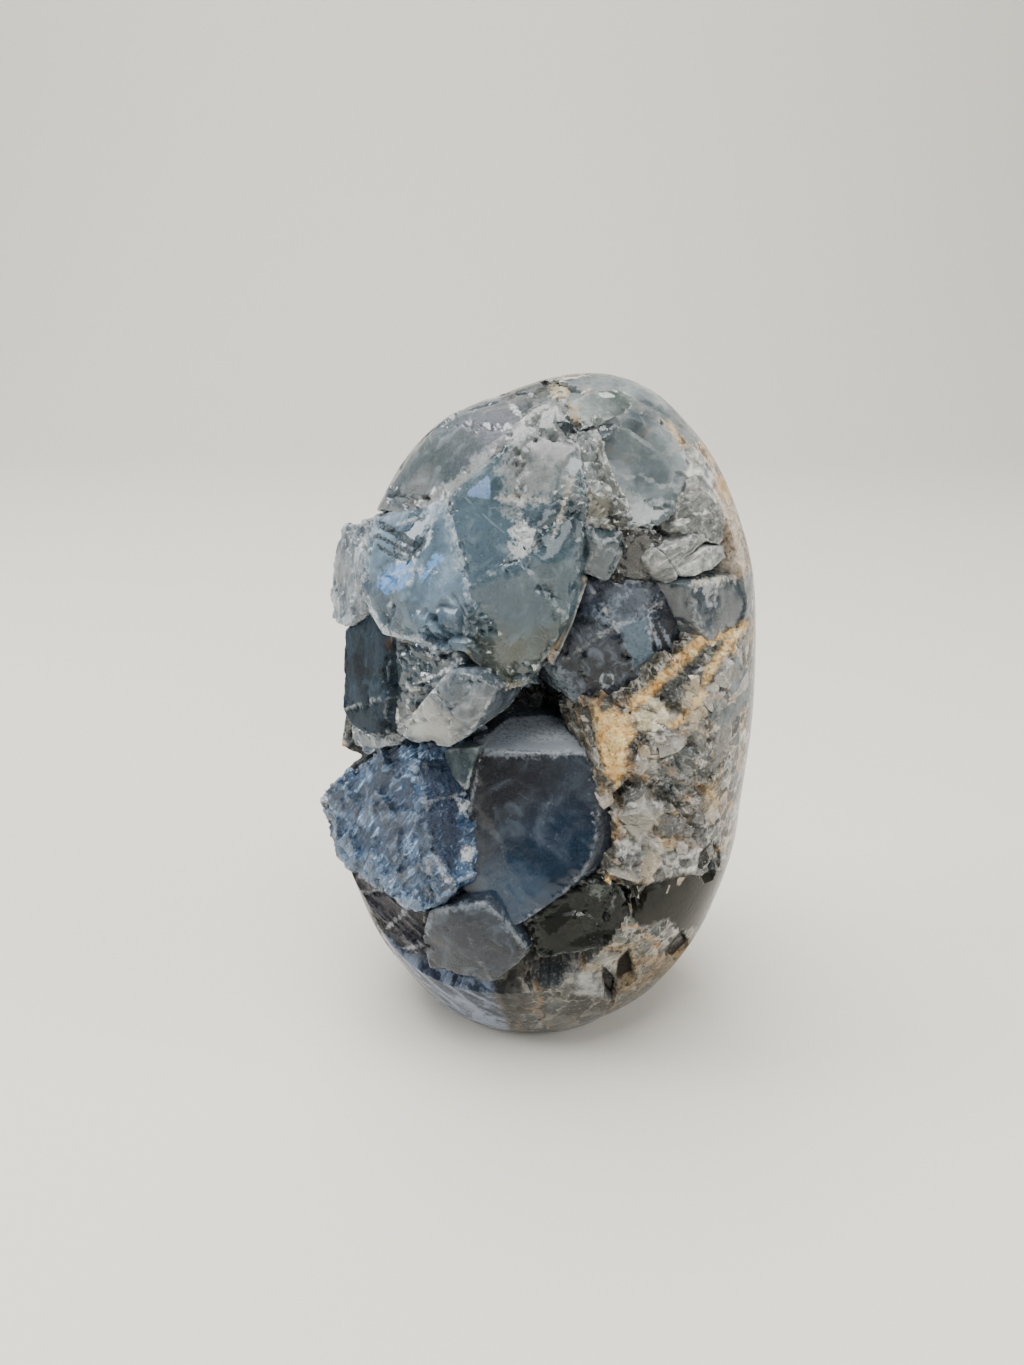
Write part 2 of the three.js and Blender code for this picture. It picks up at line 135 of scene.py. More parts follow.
class Finish:
    """One material and the nodes that make it."""

    def __init__(self, name):
        self.material = bpy.data.materials.new(name)
        self.material.use_nodes = True
        self.tree = self.material.node_tree
        self.tree.nodes.clear()

    def node(self, kind, settings, values):
        """Any node: its settings first, such as a ramp's stops from 0 to 1, then what goes into it."""
        made = self.tree.nodes.new(kind)
        for name, setting in settings.items():
            if name == "stops":
                elements = made.color_ramp.elements
                for at, colour in setting[1:-1]:
                    elements.new(at).color = (*colour, 1)
                elements[0].color, elements[-1].color = (*setting[0][1], 1), (*setting[-1][1], 1)
            else:
                setattr(made, name, setting)
        for name, value in values.items():
            self.feed(made.inputs[name], value)
        return {out.name: Value(self, out) for out in made.outputs if out.enabled}

    def feed(self, socket, value):
        """Links a socket, or sets it to a number, a direction or a colour."""
        if isinstance(value, Value):
            self.tree.links.new(value.socket, socket)
        elif isinstance(value, tuple) and len(value) == 3 and socket.type == "RGBA":
            socket.default_value = (*value, 1)
        else:
            socket.default_value = value

    def place(self):
        """Where on the piece each point lies, for the patterns in it."""
        return self.node("ShaderNodeTexCoord", {}, {})["Object"]

    def field(self, name):
        """A number that the piece's mesh carries at each point."""
        return self.node("ShaderNodeAttribute", {"attribute_name": name}, {})["Fac"]

    def drawn_out(self, place, along, stretch):
        """Places for a pattern that is so many times longer along one direction than the other two."""
        turn = tuple(Vector(along).to_track_quat("Z", "Y").to_euler())
        size = (1, 1, stretch) if stretch > 1 else (1 / stretch, 1 / stretch, 1)
        values = {"Vector": place, "Rotation": turn, "Scale": size}
        return self.node("ShaderNodeMapping", {"vector_type": "TEXTURE"}, values)["Vector"]

    def cloud(self, place, size, detail=3, swirl=0.0, rough=0.55):
        """Noise whose lumps are about so many millimetres across, near 0.5 on average."""
        return self.node("ShaderNodeTexNoise", {}, {
            "Vector": place, "Scale": 1 / (size * MM), "Detail": detail, "Distortion": swirl,
            "Roughness": rough,
        })["Fac"]

    def mixed(self, share, first, second):
        """A colour, the first where the share is 0 and the second where it is 1."""
        settings = {"data_type": "RGBA", "clamp_factor": True}
        return self.node("ShaderNodeMix", settings, {0: share, 6: first, 7: second})["Result"]

    def relief(self, height, depth, under=None):
        """Bumps so many millimetres deep where the height goes from 0 to 1."""
        values = {"Height": height, "Distance": depth * MM, "Strength": 1.0}
        if under:
            values["Normal"] = under
        return self.node("ShaderNodeBump", {}, values)["Normal"]

    def surface(self, shader, inside=None):
        """The finish's last node, with what the light passes through on the inside."""
        ends = {"Surface": shader, "Volume": inside} if inside else {"Surface": shader}
        self.node("ShaderNodeOutputMaterial", {}, ends)


def shade(red, green, blue):
    """A colour as it is read off a screen, 0 to 255, for a finish."""
    return tuple(Color((red / 255, green / 255, blue / 255)).from_srgb_to_scene_linear())


def set_down(bm, name, finish, smooth=True, crisp=None):
    """The finished piece, from millimetres to metres; edges sharper than the crisp angle stay hard."""
    bmesh.ops.scale(bm, vec=(MM, MM, MM), verts=bm.verts)
    for face in bm.faces:
        face.smooth = smooth
    mesh = bpy.data.meshes.new(name)
    bm.to_mesh(mesh)
    bm.free()
    mesh.materials.append(finish.material)
    if crisp:
        mesh.set_sharp_from_angle(angle=math.radians(crisp))
    piece = bpy.data.objects.new(name, mesh)
    bpy.context.collection.objects.link(piece)
    return piece


FLOOR_HALF, WALL_AT, WALL_TOP, SWEEP, SWEEP_STEPS = 1500, 700, 1200, 250, 12
bm = bmesh.new()
line = [bm.verts.new((-FLOOR_HALF, -FLOOR_HALF, 0))]
for step in range(SWEEP_STEPS + 1):
    turn = math.pi / 2 * step / SWEEP_STEPS
    before_wall, up = SWEEP * (1 - math.sin(turn)), SWEEP * (1 - math.cos(turn))
    line.append(bm.verts.new((-FLOOR_HALF, WALL_AT - before_wall, up)))
line.append(bm.verts.new((-FLOOR_HALF, WALL_AT, WALL_TOP)))
edges = [bm.edges.new(pair) for pair in zip(line, line[1:])]
swept = bmesh.ops.extrude_edge_only(bm, edges=edges)["geom"]
other_side = [v for v in swept if isinstance(v, bmesh.types.BMVert)]
bmesh.ops.translate(bm, vec=(2 * FLOOR_HALF, 0, 0), verts=other_side)
floor_finish = Finish("pale_floor")
floor_finish.surface(floor_finish.node(
    "ShaderNodeBsdfPrincipled", {}, {"Base Color": shade(218, 214, 205), "Roughness": 0.75},
)["BSDF"])
floor = set_down(bm, "floor", floor_finish)


# The rock: a lump of interlocking celestite grains, ground to a standing egg with a flat foot and
# polished. Its sections run from the foot up: height, the section's middle to the right of the
# axis, half its width, and how far it reaches to the front and to the back.
HEIGHT = 115
EGG = [
    (0, 0, 14.5, 11.5, 11),
    (3, -2.7, 19.8, 15.5, 15),
    (10, -1.5, 25.5, 20, 19.5),
    (24, -1.5, 32, 25, 24),
    (42, -1.7, 35.3, 27.5, 26.5),
    (62, -0.2, 34.3, 27, 26),
    (82, 0.3, 32.2, 25, 24),
    (98, 0.9, 26.3, 20.5, 19.5),
    (108, 1.6, 18.5, 14.5, 14),
    (113, 4.6, 9.3, 7.2, 7.2),
    (HEIGHT, 5.5, 0.5, 0.5, 0.5),
]
MIDDLE, HALF_WIDTH, FRONT, BACK = 1, 2, 3, 4
COLUMNS = range(5)


def angle_at(height):
    """A height as an angle, 0 at the foot and pi at the top, so that the top comes out round."""
    return math.acos(max(-1, min(1, 1 - 2 * height / HEIGHT)))


ANGLES = [angle_at(row[0]) for row in EGG]


def slopes_of(column):
    """Slopes of a smooth curve through one column that never overshoots it."""
    steps = [(b[column] - a[column]) / (q - p) for a, b, p, q in zip(EGG, EGG[1:], ANGLES, ANGLES[1:])]
    inner = [2 * a * b / (a + b) if a * b > 0 else 0 for a, b in zip(steps, steps[1:])]
    return [steps[0], *inner, steps[-1]]


SLOPES = [slopes_of(column) for column in COLUMNS]


def exact_section(column, height):
    """One measure of the egg's section at a height."""
    angle = angle_at(height)
    i = min(max(k for k, a in enumerate(ANGLES) if a <= angle), len(EGG) - 2)
    span = ANGLES[i + 1] - ANGLES[i]
    t = (angle - ANGLES[i]) / span
    rise = EGG[i + 1][column] - EGG[i][column]
    leave, arrive = SLOPES[column][i] * span, SLOPES[column][i + 1] * span
    bend = 3 * rise - 2 * leave - arrive + t * (leave + arrive - 2 * rise)
    return EGG[i][column] + t * (leave + t * bend)


def height_at(angle):
    """The height that an angle from the foot stands for."""
    return HEIGHT * (1 - math.cos(angle)) / 2


LOOKUPS = 800
SECTIONS = [
    [exact_section(column, height_at(math.pi * k / LOOKUPS)) for column in COLUMNS]
    for k in range(LOOKUPS + 1)
]


def sections(height):
    """All the measures at a height, between two sections worked out before."""
    spot = angle_at(height) / math.pi * LOOKUPS
    k = min(int(spot), LOOKUPS - 1)
    t = spot - k
    return [a + (b - a) * t for a, b in zip(SECTIONS[k], SECTIONS[k + 1])]


FAR_OUTSIDE = 9


def fill(p):
    """Below 1 inside the egg, 1 on its skin and above 1 outside."""
    if p.z < 0 or p.z > HEIGHT:
        return FAR_OUTSIDE
    row = sections(p.z)
    across = (p.x - row[MIDDLE]) / row[HALF_WIDTH]
    along = p.y / row[FRONT if p.y < 0 else BACK]
    return across * across + along * along


SHEET_CENTRE = (512, 682.5)
SHEET_UP = Vector((0, math.sin(VIEW_TILT), math.cos(VIEW_TILT)))
VIEW_AXIS = Vector((0, math.cos(VIEW_TILT), -math.sin(VIEW_TILT)))


def seen(x, y, out):
    """The point seen at x, y of the front view, so many millimetres in front of the drawing sheet."""
    across = (x - SHEET_CENTRE[0]) * SHEET_STEP
    up = (SHEET_CENTRE[1] - y) * SHEET_STEP
    point = EYE + VIEW_AXIS * SHEET_DISTANCE + Vector((across, 0, 0)) + SHEET_UP * up
    return point.lerp(EYE, out / SHEET_DISTANCE)


LOOK_FROM, LOOK_TO, LOOK_STEP, HALVINGS = 90, -20, 2, 12


def skin(x, y, depth=0):
    """The point seen at x, y that lies so many millimetres behind the egg's skin."""
    fills = [(fill(seen(x, y, out)), out) for out in range(LOOK_FROM, LOOK_TO, -LOOK_STEP)]
    inside = next((out for filled, out in fills if filled < 1), None)
    if inside is None:
        return seen(x, y, min(fills)[1] - depth)
    outside = inside + LOOK_STEP
    for _ in range(HALVINGS):
        middle = (outside + inside) / 2
        if fill(seen(x, y, middle)) < 1:
            inside = middle
        else:
            outside = middle
    return seen(x, y, inside - depth)


def close_round(bm, verts):
    """Wraps a closed solid round some of a mesh's points and drops those that end up inside."""
    made = bmesh.ops.convex_hull(bm, input=verts)
    left_over = dict.fromkeys(made["geom_interior"] + made["geom_unused"])
    spare = [g for g in left_over if isinstance(g, bmesh.types.BMVert)]
    bmesh.ops.delete(bm, geom=spare, context="VERTS")


def hull(points):
    """A closed solid round the points."""
    bm = bmesh.new()
    close_round(bm, [bm.verts.new(p) for p in points])
    bmesh.ops.recalc_face_normals(bm, faces=bm.faces)
    return bm


def cutter(outline, floor_depth, above=6):
    """A cut from above the skin down to a floor; each corner may have a depth of its own."""
    corners = [(*corner, floor_depth)[:3] for corner in outline]
    return hull([skin(x, y, -above) for x, y, _ in corners] + [skin(*corner) for corner in corners])


def nearest(cutters, start, way, reach):
    """How far a straight way runs before it comes into one of the cuts."""
    return min((tree.ray_cast(start, way, reach)[3] or reach for tree in cutters), default=reach)


def trees(solids):
    """The solids as something that a straight way can be tried against."""
    found = [BVHTree.FromBMesh(solid) for solid in solids]
    for solid in solids:
        solid.free()
    return found


HOLLOW = [
    (470, 400, 44), (532, 404, 50), (573, 440, 54), (584, 560, 50), (628, 730, 45), (628, 860, 40),
    (560, 918, 34), (430, 945, 28), (340, 940, 26), (290, 860, 25), (290, 500, 29), (372, 440, 37),
]
BEFORE_STONE = 84
DARK_BAY = [(574, 528), (640, 540), (686, 566), (704, 628), (644, 706), (634, 760), (612, 800), (560, 690)]
DARK_BAY_DEPTH = 13
MOUTH = [(492, 696), (514, 692), (535, 672), (552, 668), (578, 704), (590, 724), (584, 745), (488, 742)]
MOUTH_DEPTH = 26
SIDE_NOTCH = [(318, 738), (372, 753), (322, 790)]
NOTCH_FROM, NOTCH_TO = 60, -20
GRAIN_SLOPES = [
    [(634, 712, 4), (704, 634, 2.4), (742, 632, 0), (728, 690, 0.2), (690, 720, 2), (650, 760, 3.6)],
    [(612, 800, 6), (650, 744, 3.4), (706, 722, 0.6), (714, 800, 0.3), (668, 838, 1.6), (628, 850, 5)],
    [(606, 850, 5.6), (640, 826, 4), (700, 812, 0.3), (690, 866, 0.2), (634, 886, 1.8), (596, 884, 4)],
]
SCOOPS = [(654, 450, 17, 2.6), (612, 482, 9, 2.4), (700, 548, 11, 1.8)]
CHIPS = [
    (655, 738, 16, 5.4), (690, 690, 14, 3.8), (668, 790, 13, 4.2), (640, 812, 12, 6), (700, 760, 11, 2.6),
    (652, 858, 12, 4.4), (722, 660, 10, 1.6), (686, 838, 10, 2.4), (598, 976, 9, 2), (570, 980, 10, 1.6),
    (556, 398, 10, 1.6), (576, 415, 8, 2.2), (736, 560, 9, 1.4), (716, 516, 8, 1.4), (636, 902, 9, 1.2),
]
PITS = [
    [(697, 871), (700, 853), (711, 842), (713, 857), (706, 872)],
    [(663, 951), (682, 930), (686, 941), (672, 955)],
    [(629, 948), (633, 969), (616, 977), (618, 961)],
    [(602, 965), (615, 978), (611, 993), (603, 984)],
    [(539, 948), (551, 946), (560, 961), (550, 967), (539, 960)],
]
PIT_DEPTH = 4
CHIP_RIM = [(-1, -0.3), (-0.2, -1), (0.9, -0.6), (1, 0.4), (0.1, 1), (-0.8, 0.6)]
CHIP_RIM_UP = 0.8
CHIP_FLOOR_SIZE = 0.55


def chip_cutter(x, y, width, depth):
    """The bed of a flake that broke off the ground skin."""
    rim = [skin(x + u * width, y + v * width, -CHIP_RIM_UP) for u, v in CHIP_RIM]
    bed = [(x + u * width * CHIP_FLOOR_SIZE, y + v * width * CHIP_FLOOR_SIZE) for u, v in CHIP_RIM]
    return hull(rim + [skin(*spot, depth) for spot in bed])


def scoop_cutter(x, y, radius, bite):
    """A round bowl that bites so many millimetres into the skin."""
    bowl = bmesh.new()
    bmesh.ops.create_icosphere(bowl, subdivisions=4, radius=radius)
    bmesh.ops.translate(bowl, vec=skin(x, y, bite - radius), verts=bowl.verts)
    return bowl


hollow_cuts = trees([
    hull([seen(x, y, BEFORE_STONE) for x, y, _ in HOLLOW] + [seen(*corner) for corner in HOLLOW]),
    cutter(DARK_BAY, DARK_BAY_DEPTH),
])
slope_cuts = trees([cutter(corners, 0, above=5) for corners in GRAIN_SLOPES])
deep_cuts = trees([
    cutter(MOUTH, MOUTH_DEPTH),
    hull([seen(x, y, out) for out in (NOTCH_FROM, NOTCH_TO) for x, y in SIDE_NOTCH]),
])
scoop_cuts = trees([scoop_cutter(*scoop) for scoop in SCOOPS])
chip_cuts = trees([chip_cutter(*chip) for chip in CHIPS])
pit_cuts = trees([cutter(outline, PIT_DEPTH, above=2) for outline in PITS])

# The rock's points are cast outwards from a spot well inside it, to the skin or to the nearest cut.
CAST_FROM = Vector((3, 8, 57))
STONE_MIDDLE = Vector((0, 0, HEIGHT / 2))
CORE_SIZE = Vector((0.7, 0.6, 0.86))
FOOT_TURN = 0.26
ROCK_CUTS = 121
ROCK_INSET = 0.1
CORE_EVERY = 9
SKIN_LOSS = 0.05
COARSE_GRAIN, FINE_GRAIN = (4.2, 0.55, 0.6), (1.7, 0.4, 0.15)
FINE_GRAIN_APART = Vector((40, 0, 0))
DEEPEST_GRAIN = -2.0


def egg_point(way):
    """The egg's skin in the direction of a point on a ball; the ball's lowest part is the flat foot."""
    polar = math.acos(max(-1, min(1, -way.z)))
    turn = math.atan2(way.y, way.x)
    height = height_at(max(0, (polar - FOOT_TURN) / (math.pi - FOOT_TURN) * math.pi))
    row = sections(height) if polar > FOOT_TURN else SECTIONS[0]
    size = min(1, polar / FOOT_TURN)
    x = row[MIDDLE] + math.cos(turn) * (row[HALF_WIDTH] - ROCK_INSET) * size
    y = math.sin(turn) * (row[FRONT if turn < 0 else BACK] - ROCK_INSET) * size
    return Vector((x, y, height))


STONE_STEP = 0.17


def from_side(x, y, side):
    """How far a spot of the front view lies from a straight stretch, in steps of the view."""
    (ax, ay), (bx, by) = side
    dx, dy = bx - ax, by - ay
    t = max(0, min(1, ((x - ax) * dx + (y - ay) * dy) / (dx * dx + dy * dy)))
    return math.hypot(ax + dx * t - x, ay + dy * t - y)


def inside_by(spot, outline):
    """How far a spot of the front view lies inside a closed outline, in millimetres; outside is below 0."""
    x, y = spot
    sides = list(zip(outline, outline[1:] + outline[:1]))
    inside = False
    for (ax, ay), (bx, by) in sides:
        if (ay > y) != (by > y) and x < ax + (y - ay) * (bx - ax) / (by - ay):
            inside = not inside
    least = min(from_side(x, y, side) for side in sides)
    return (least if inside else -least) * STONE_STEP


def on_line(spot, line, width):
    """How far a spot lies inside a line of the front view that is so many steps wide, in millimetres."""
    least = min(from_side(*spot, side) for side in zip(line, line[1:]))
    return (width / 2 - least) * STONE_STEP


def stroke(width, *line):
    """A marking along a line of the front view."""
    return {"line": line, "width": width}


def in_view(point):
    """Where the front view shows a point."""
    way = point - EYE
    reach = SHEET_DISTANCE / SHEET_STEP / way.dot(VIEW_AXIS)
    return SHEET_CENTRE[0] + way.x * reach, SHEET_CENTRE[1] - way.dot(SHEET_UP) * reach


FAR_OUT = -3.0
MARK_MARGIN = 24


def mark(bm, marks):
    """Writes how far each point lies inside each kind of marking, so that a finish can colour it."""
    bm.normal_update()
    for name, shapes in marks.items():
        layer = bm.verts.layers.float.new(name)
        boxed = []
        for shape in shapes:
            xs, ys = zip(*(shape["line"] if isinstance(shape, dict) else shape))
            least = min(xs) - MARK_MARGIN, min(ys) - MARK_MARGIN
            boxed.append((*least, max(xs) + MARK_MARGIN, max(ys) + MARK_MARGIN, shape))
        for v in bm.verts:
            value = FAR_OUT
            if v.normal.dot(EYE - v.co) > 0:
                x, y = in_view(v.co)
                for left, top, right, bottom, shape in boxed:
                    if left < x < right and top < y < bottom:
                        is_line = isinstance(shape, dict)
                        value = max(value, on_line((x, y), **shape) if is_line else inside_by((x, y), shape))
            v[layer] = value


GRAIN_SHUFFLE = 7.3


def tilted_grain(p, size, tilt, lift):
    """The height at a point of broken rock, where each grain shows a flat face of its own slant."""
    centre = noise.voronoi(p / size)[1][0]
    slant = noise.cell_vector(centre * GRAIN_SHUFFLE)
    return (p - centre * size).dot(slant) * tilt + slant.z * lift


ROCK_MARKS = {
    "clay": [
        [(594, 707), (605, 713), (615, 709), (627, 715), (637, 735), (626, 748), (627, 772), (617, 788),
         (606, 774), (599, 752)],
        stroke(11, (634, 706), (658, 684), (680, 660), (703, 639), (722, 634), (741, 626)),
        stroke(8, (738, 632), (722, 652), (710, 672), (702, 694), (688, 716), (672, 726)),
        stroke(9, (608, 880), (618, 888), (616, 898)),
    ],
    "tan": [
        stroke(6, (555, 948), (590, 946), (631, 948)),
        stroke(5, (562, 962), (584, 967), (600, 968)),
        [(618, 956), (636, 950), (640, 968), (634, 992), (612, 996), (616, 978)],
        stroke(9, (638, 984), (660, 970), (684, 954)),
        [(656, 816), (676, 812), (690, 824), (684, 846), (664, 850), (656, 836)],
        stroke(7, (604, 790), (612, 800), (618, 796)),
        [(702, 786), (716, 780), (720, 800), (708, 812)],
        stroke(8, (640, 960), (664, 962), (690, 944)),
    ],
    "gold": [
        [(714, 474), (724, 476), (734, 498), (728, 508), (716, 492)],
        stroke(3, (668, 424), (684, 444)),
        [(566, 398), (576, 402), (582, 424), (572, 422)],
    ],
    "blush": [
        [(720, 498), (734, 500), (744, 536), (748, 566), (742, 580), (722, 580), (716, 560), (722, 530)],
    ],
    "cream": [
        [(632, 706), (650, 698), (668, 706), (672, 722), (654, 732), (636, 730)],
        [(680, 694), (700, 686), (712, 696), (706, 716), (688, 722)],
    ],
    "white": [
        [(626, 794), (640, 790), (660, 800), (664, 822), (646, 834), (630, 826)],
        [(616, 842), (640, 834), (668, 852), (700, 850), (698, 870), (650, 880), (622, 872)],
        [(660, 706), (690, 724), (668, 742), (650, 736)],
        [(568, 968), (604, 970), (605, 992), (594, 999), (569, 990)],
        [(684, 452), (714, 470), (722, 520), (714, 540), (694, 530), (678, 520), (690, 490)],
    ],
    "patch": [
        [(585, 431), (628, 405), (666, 425), (690, 462), (696, 486), (679, 500), (661, 528), (640, 526),
         (600, 500), (583, 455)],
        [(689, 586), (752, 574), (752, 615), (711, 638), (699, 626)],
        [(656, 746), (672, 738), (692, 748), (696, 790), (680, 800), (660, 786)],
        [(560, 384), (600, 372), (640, 382), (668, 402), (700, 440), (688, 446), (664, 420), (630, 408),
         (590, 388), (566, 396)],
        [(716, 640), (742, 640), (748, 700), (728, 730), (708, 720), (708, 680)],
    ],
    "dusk": [
        [(630, 738), (646, 734), (654, 746), (644, 760), (630, 756)],
        [(662, 690), (682, 668), (702, 650), (706, 656), (688, 680), (672, 700)],
        [(684, 824), (700, 812), (704, 836), (690, 846)],
        [(490, 985), (515, 985), (530, 1000), (512, 1028)],
    ],
    "lens": [
        [(568, 403), (593, 393), (623, 390), (634, 400), (626, 411), (603, 420), (583, 428), (570, 420)],
    ],
    "olive": [
        [(630, 887), (695, 872), (727, 870), (717, 905), (700, 924), (682, 932), (668, 918), (641, 926),
         (619, 907), (612, 897)],
    ],
    "streak": [
        [(374, 930), (387, 954), (422, 993), (455, 1020), (482, 1032), (511, 1034), (492, 983), (430, 950)],
    ],
    "pit": PITS,
}

bm = bmesh.new()
bmesh.ops.create_cube(bm, size=2)
bmesh.ops.subdivide_edges(bm, edges=bm.edges, cuts=ROCK_CUTS, use_grid_fill=True)
broken = bm.verts.layers.float.new("broken")
deep = bm.verts.layers.float.new("deep")
[core_tree] = trees([hull([
    (egg_point(v.co.normalized()) - STONE_MIDDLE) * CORE_SIZE + STONE_MIDDLE
    for v in list(bm.verts)[::CORE_EVERY]
])])
for v in bm.verts:
    skin_point = egg_point(v.co.normalized())
    way = skin_point - CAST_FROM
    reach = way.length
    way.normalize()
    out = nearest(hollow_cuts, CAST_FROM, way, reach)
    if out < reach:
        out = max(out, min(core_tree.ray_cast(CAST_FROM, way)[3] or 0, reach))
        v[deep] = 1
    out = min(out, nearest(slope_cuts + deep_cuts, CAST_FROM, way, reach))
    rough = out < reach - SKIN_LOSS
    out = min(out, nearest(scoop_cuts + chip_cuts + pit_cuts, CAST_FROM, way, reach))
    point = CAST_FROM + way * out
    if rough:
        v[broken] = 1
        lift = tilted_grain(point, *COARSE_GRAIN) + tilted_grain(point + FINE_GRAIN_APART, *FINE_GRAIN)
        point += way * max(DEEPEST_GRAIN, min(lift, reach - out))
    v.co = point
bmesh.ops.recalc_face_normals(bm, faces=bm.faces)
mark(bm, ROCK_MARKS)

# The rock's finish: grains of two sizes with a seam between them, each of its own grey, slant and
# shine, and a finer crumble where the rock is broken. Clay, stains and clear windows lie over them.
# Painted shade darkens the rock inside the hollow, in the pits and towards the foot.
CELESTITE_IOR = 1.62
SMALL_GRAIN, LARGE_GRAIN, CRUMB = 2.7, 5.6, 1.0
GRAIN_SLANT = 2.2
BEND_SCALE, BEND_REACH = 420, 0.0036
rock_finish = Finish("celestite_rock")
place = rock_finish.place()
wide = rock_finish.cloud(place, 16, 3, 0.4)
fine = rock_finish.cloud(place, 1.6, 4)


def vector_math(operation, values, result="Vector"):
    """One step of arithmetic with places and directions in the rock's finish."""
    return rock_finish.node("ShaderNodeVectorMath", {"operation": operation}, values)[result]


bend = rock_finish.node("ShaderNodeTexNoise", {}, {
    "Vector": place, "Scale": BEND_SCALE, "Detail": 4,
})["Color"]
bent = vector_math("ADD", {0: place, 1: vector_math("SCALE", {0: bend, "Scale": BEND_REACH})})


def grains(size):
    """Each grain's own values, and a slant of tone across it."""
    values = {"Vector": bent, "Scale": 1 / (size * MM)}
    cell = rock_finish.node("ShaderNodeTexVoronoi", {"feature": "F1"}, values)
    inward = vector_math("SUBTRACT", {0: bent, 1: cell["Position"]})
    leaning = vector_math("SUBTRACT", {0: cell["Color"], 1: (0.5, 0.5, 0.5)})
    slant = vector_math("DOT_PRODUCT", {0: inward, 1: leaning}, "Value") * (GRAIN_SLANT / (size * MM))
    return rock_finish.node("ShaderNodeSeparateColor", {}, {"Color": cell["Color"]}), slant


def seams(size):
    """How far each spot is from the seam between grains."""
    values = {"Vector": bent, "Scale": 1 / (size * MM)}
    return rock_finish.node("ShaderNodeTexVoronoi", {"feature": "DISTANCE_TO_EDGE"}, values)["Distance"]


small, small_slant = grains(SMALL_GRAIN)
large, large_slant = grains(LARGE_GRAIN)
crumb, crumb_slant = grains(CRUMB)
large_here = wide.ramp(0.48, 0.54)
rough_here = rock_finish.field("broken").ramp(0.2, 0.8)


def either(small_value, large_value):
    """The large grains' value where the large grains are, and the small ones' elsewhere."""
    return small_value * (1 - large_here) + large_value * large_here


slant = either(small_slant, large_slant)
crumbs = (crumb["Red"] - 0.5) * 0.6 + crumb_slant * 0.5
tone = either(small["Red"], large["Red"]) * 0.6 + slant * 0.8 + crumbs * (rough_here * 0.5 + 0.15)
tone = tone + rough_here * 0.08 + 0.14
hue = either(small["Green"], large["Green"])
seam = either(seams(SMALL_GRAIN), seams(LARGE_GRAIN) * 2)
dust = rock_finish.cloud(place, 0.5, 4, 0.3, 0.65)
seam_line = (seam + (dust - 0.5) * 0.12).ramp(0.1, 0.0)
hollow_shade = rock_finish.field("deep").ramp(0.2, 0.8)
clay_seam = abs(rock_finish.cloud(place, 22, 2, 0.8) - 0.5).ramp(0.035, 0.01)
clay_seam = clay_seam * fine.ramp(0.35, 0.6) * seam.ramp(0.3, 0.05) * (1 - hollow_shade)
edge_noise = (fine - 0.5) * 2.2 + (dust - 0.5) * 1.2


def marked(name, soft=0.25):
    """Where a marking is, with a ragged edge."""
    return (rock_finish.field(name) + edge_noise).ramp(-soft, soft)


clear_patch = marked("patch")
olive = marked("olive")
lens = marked("lens")
streak = marked("streak", 1.2)
clay = marked("clay", 0.7)
tan = marked("tan", 1.0)
gold = marked("gold", 0.9)
blush = marked("blush", 0.9)
cream = marked("cream", 0.8)
white = marked("white", 0.8)
dusk = marked("dusk", 0.6)
pit = rock_finish.field("pit").ramp(-0.25, 0.1)
smoke = rock_finish.cloud(place, 7, 4, 0.8)
streaks = rock_finish.cloud(rock_finish.drawn_out(place, (0.6, -0.3, -0.74), 3.5), 3, 5, 1.0)
streaks = streaks + (dust - 0.5) * 0.3
height = rock_finish.node("ShaderNodeSeparateXYZ", {}, {"Vector": place})["Z"]


def mottled(dark, light, start=0.35, end=0.65, pattern=fine):
    """A colour that wavers between a dark and a light one."""
    return rock_finish.mixed(pattern.ramp(start, end), shade(*dark), shade(*light))


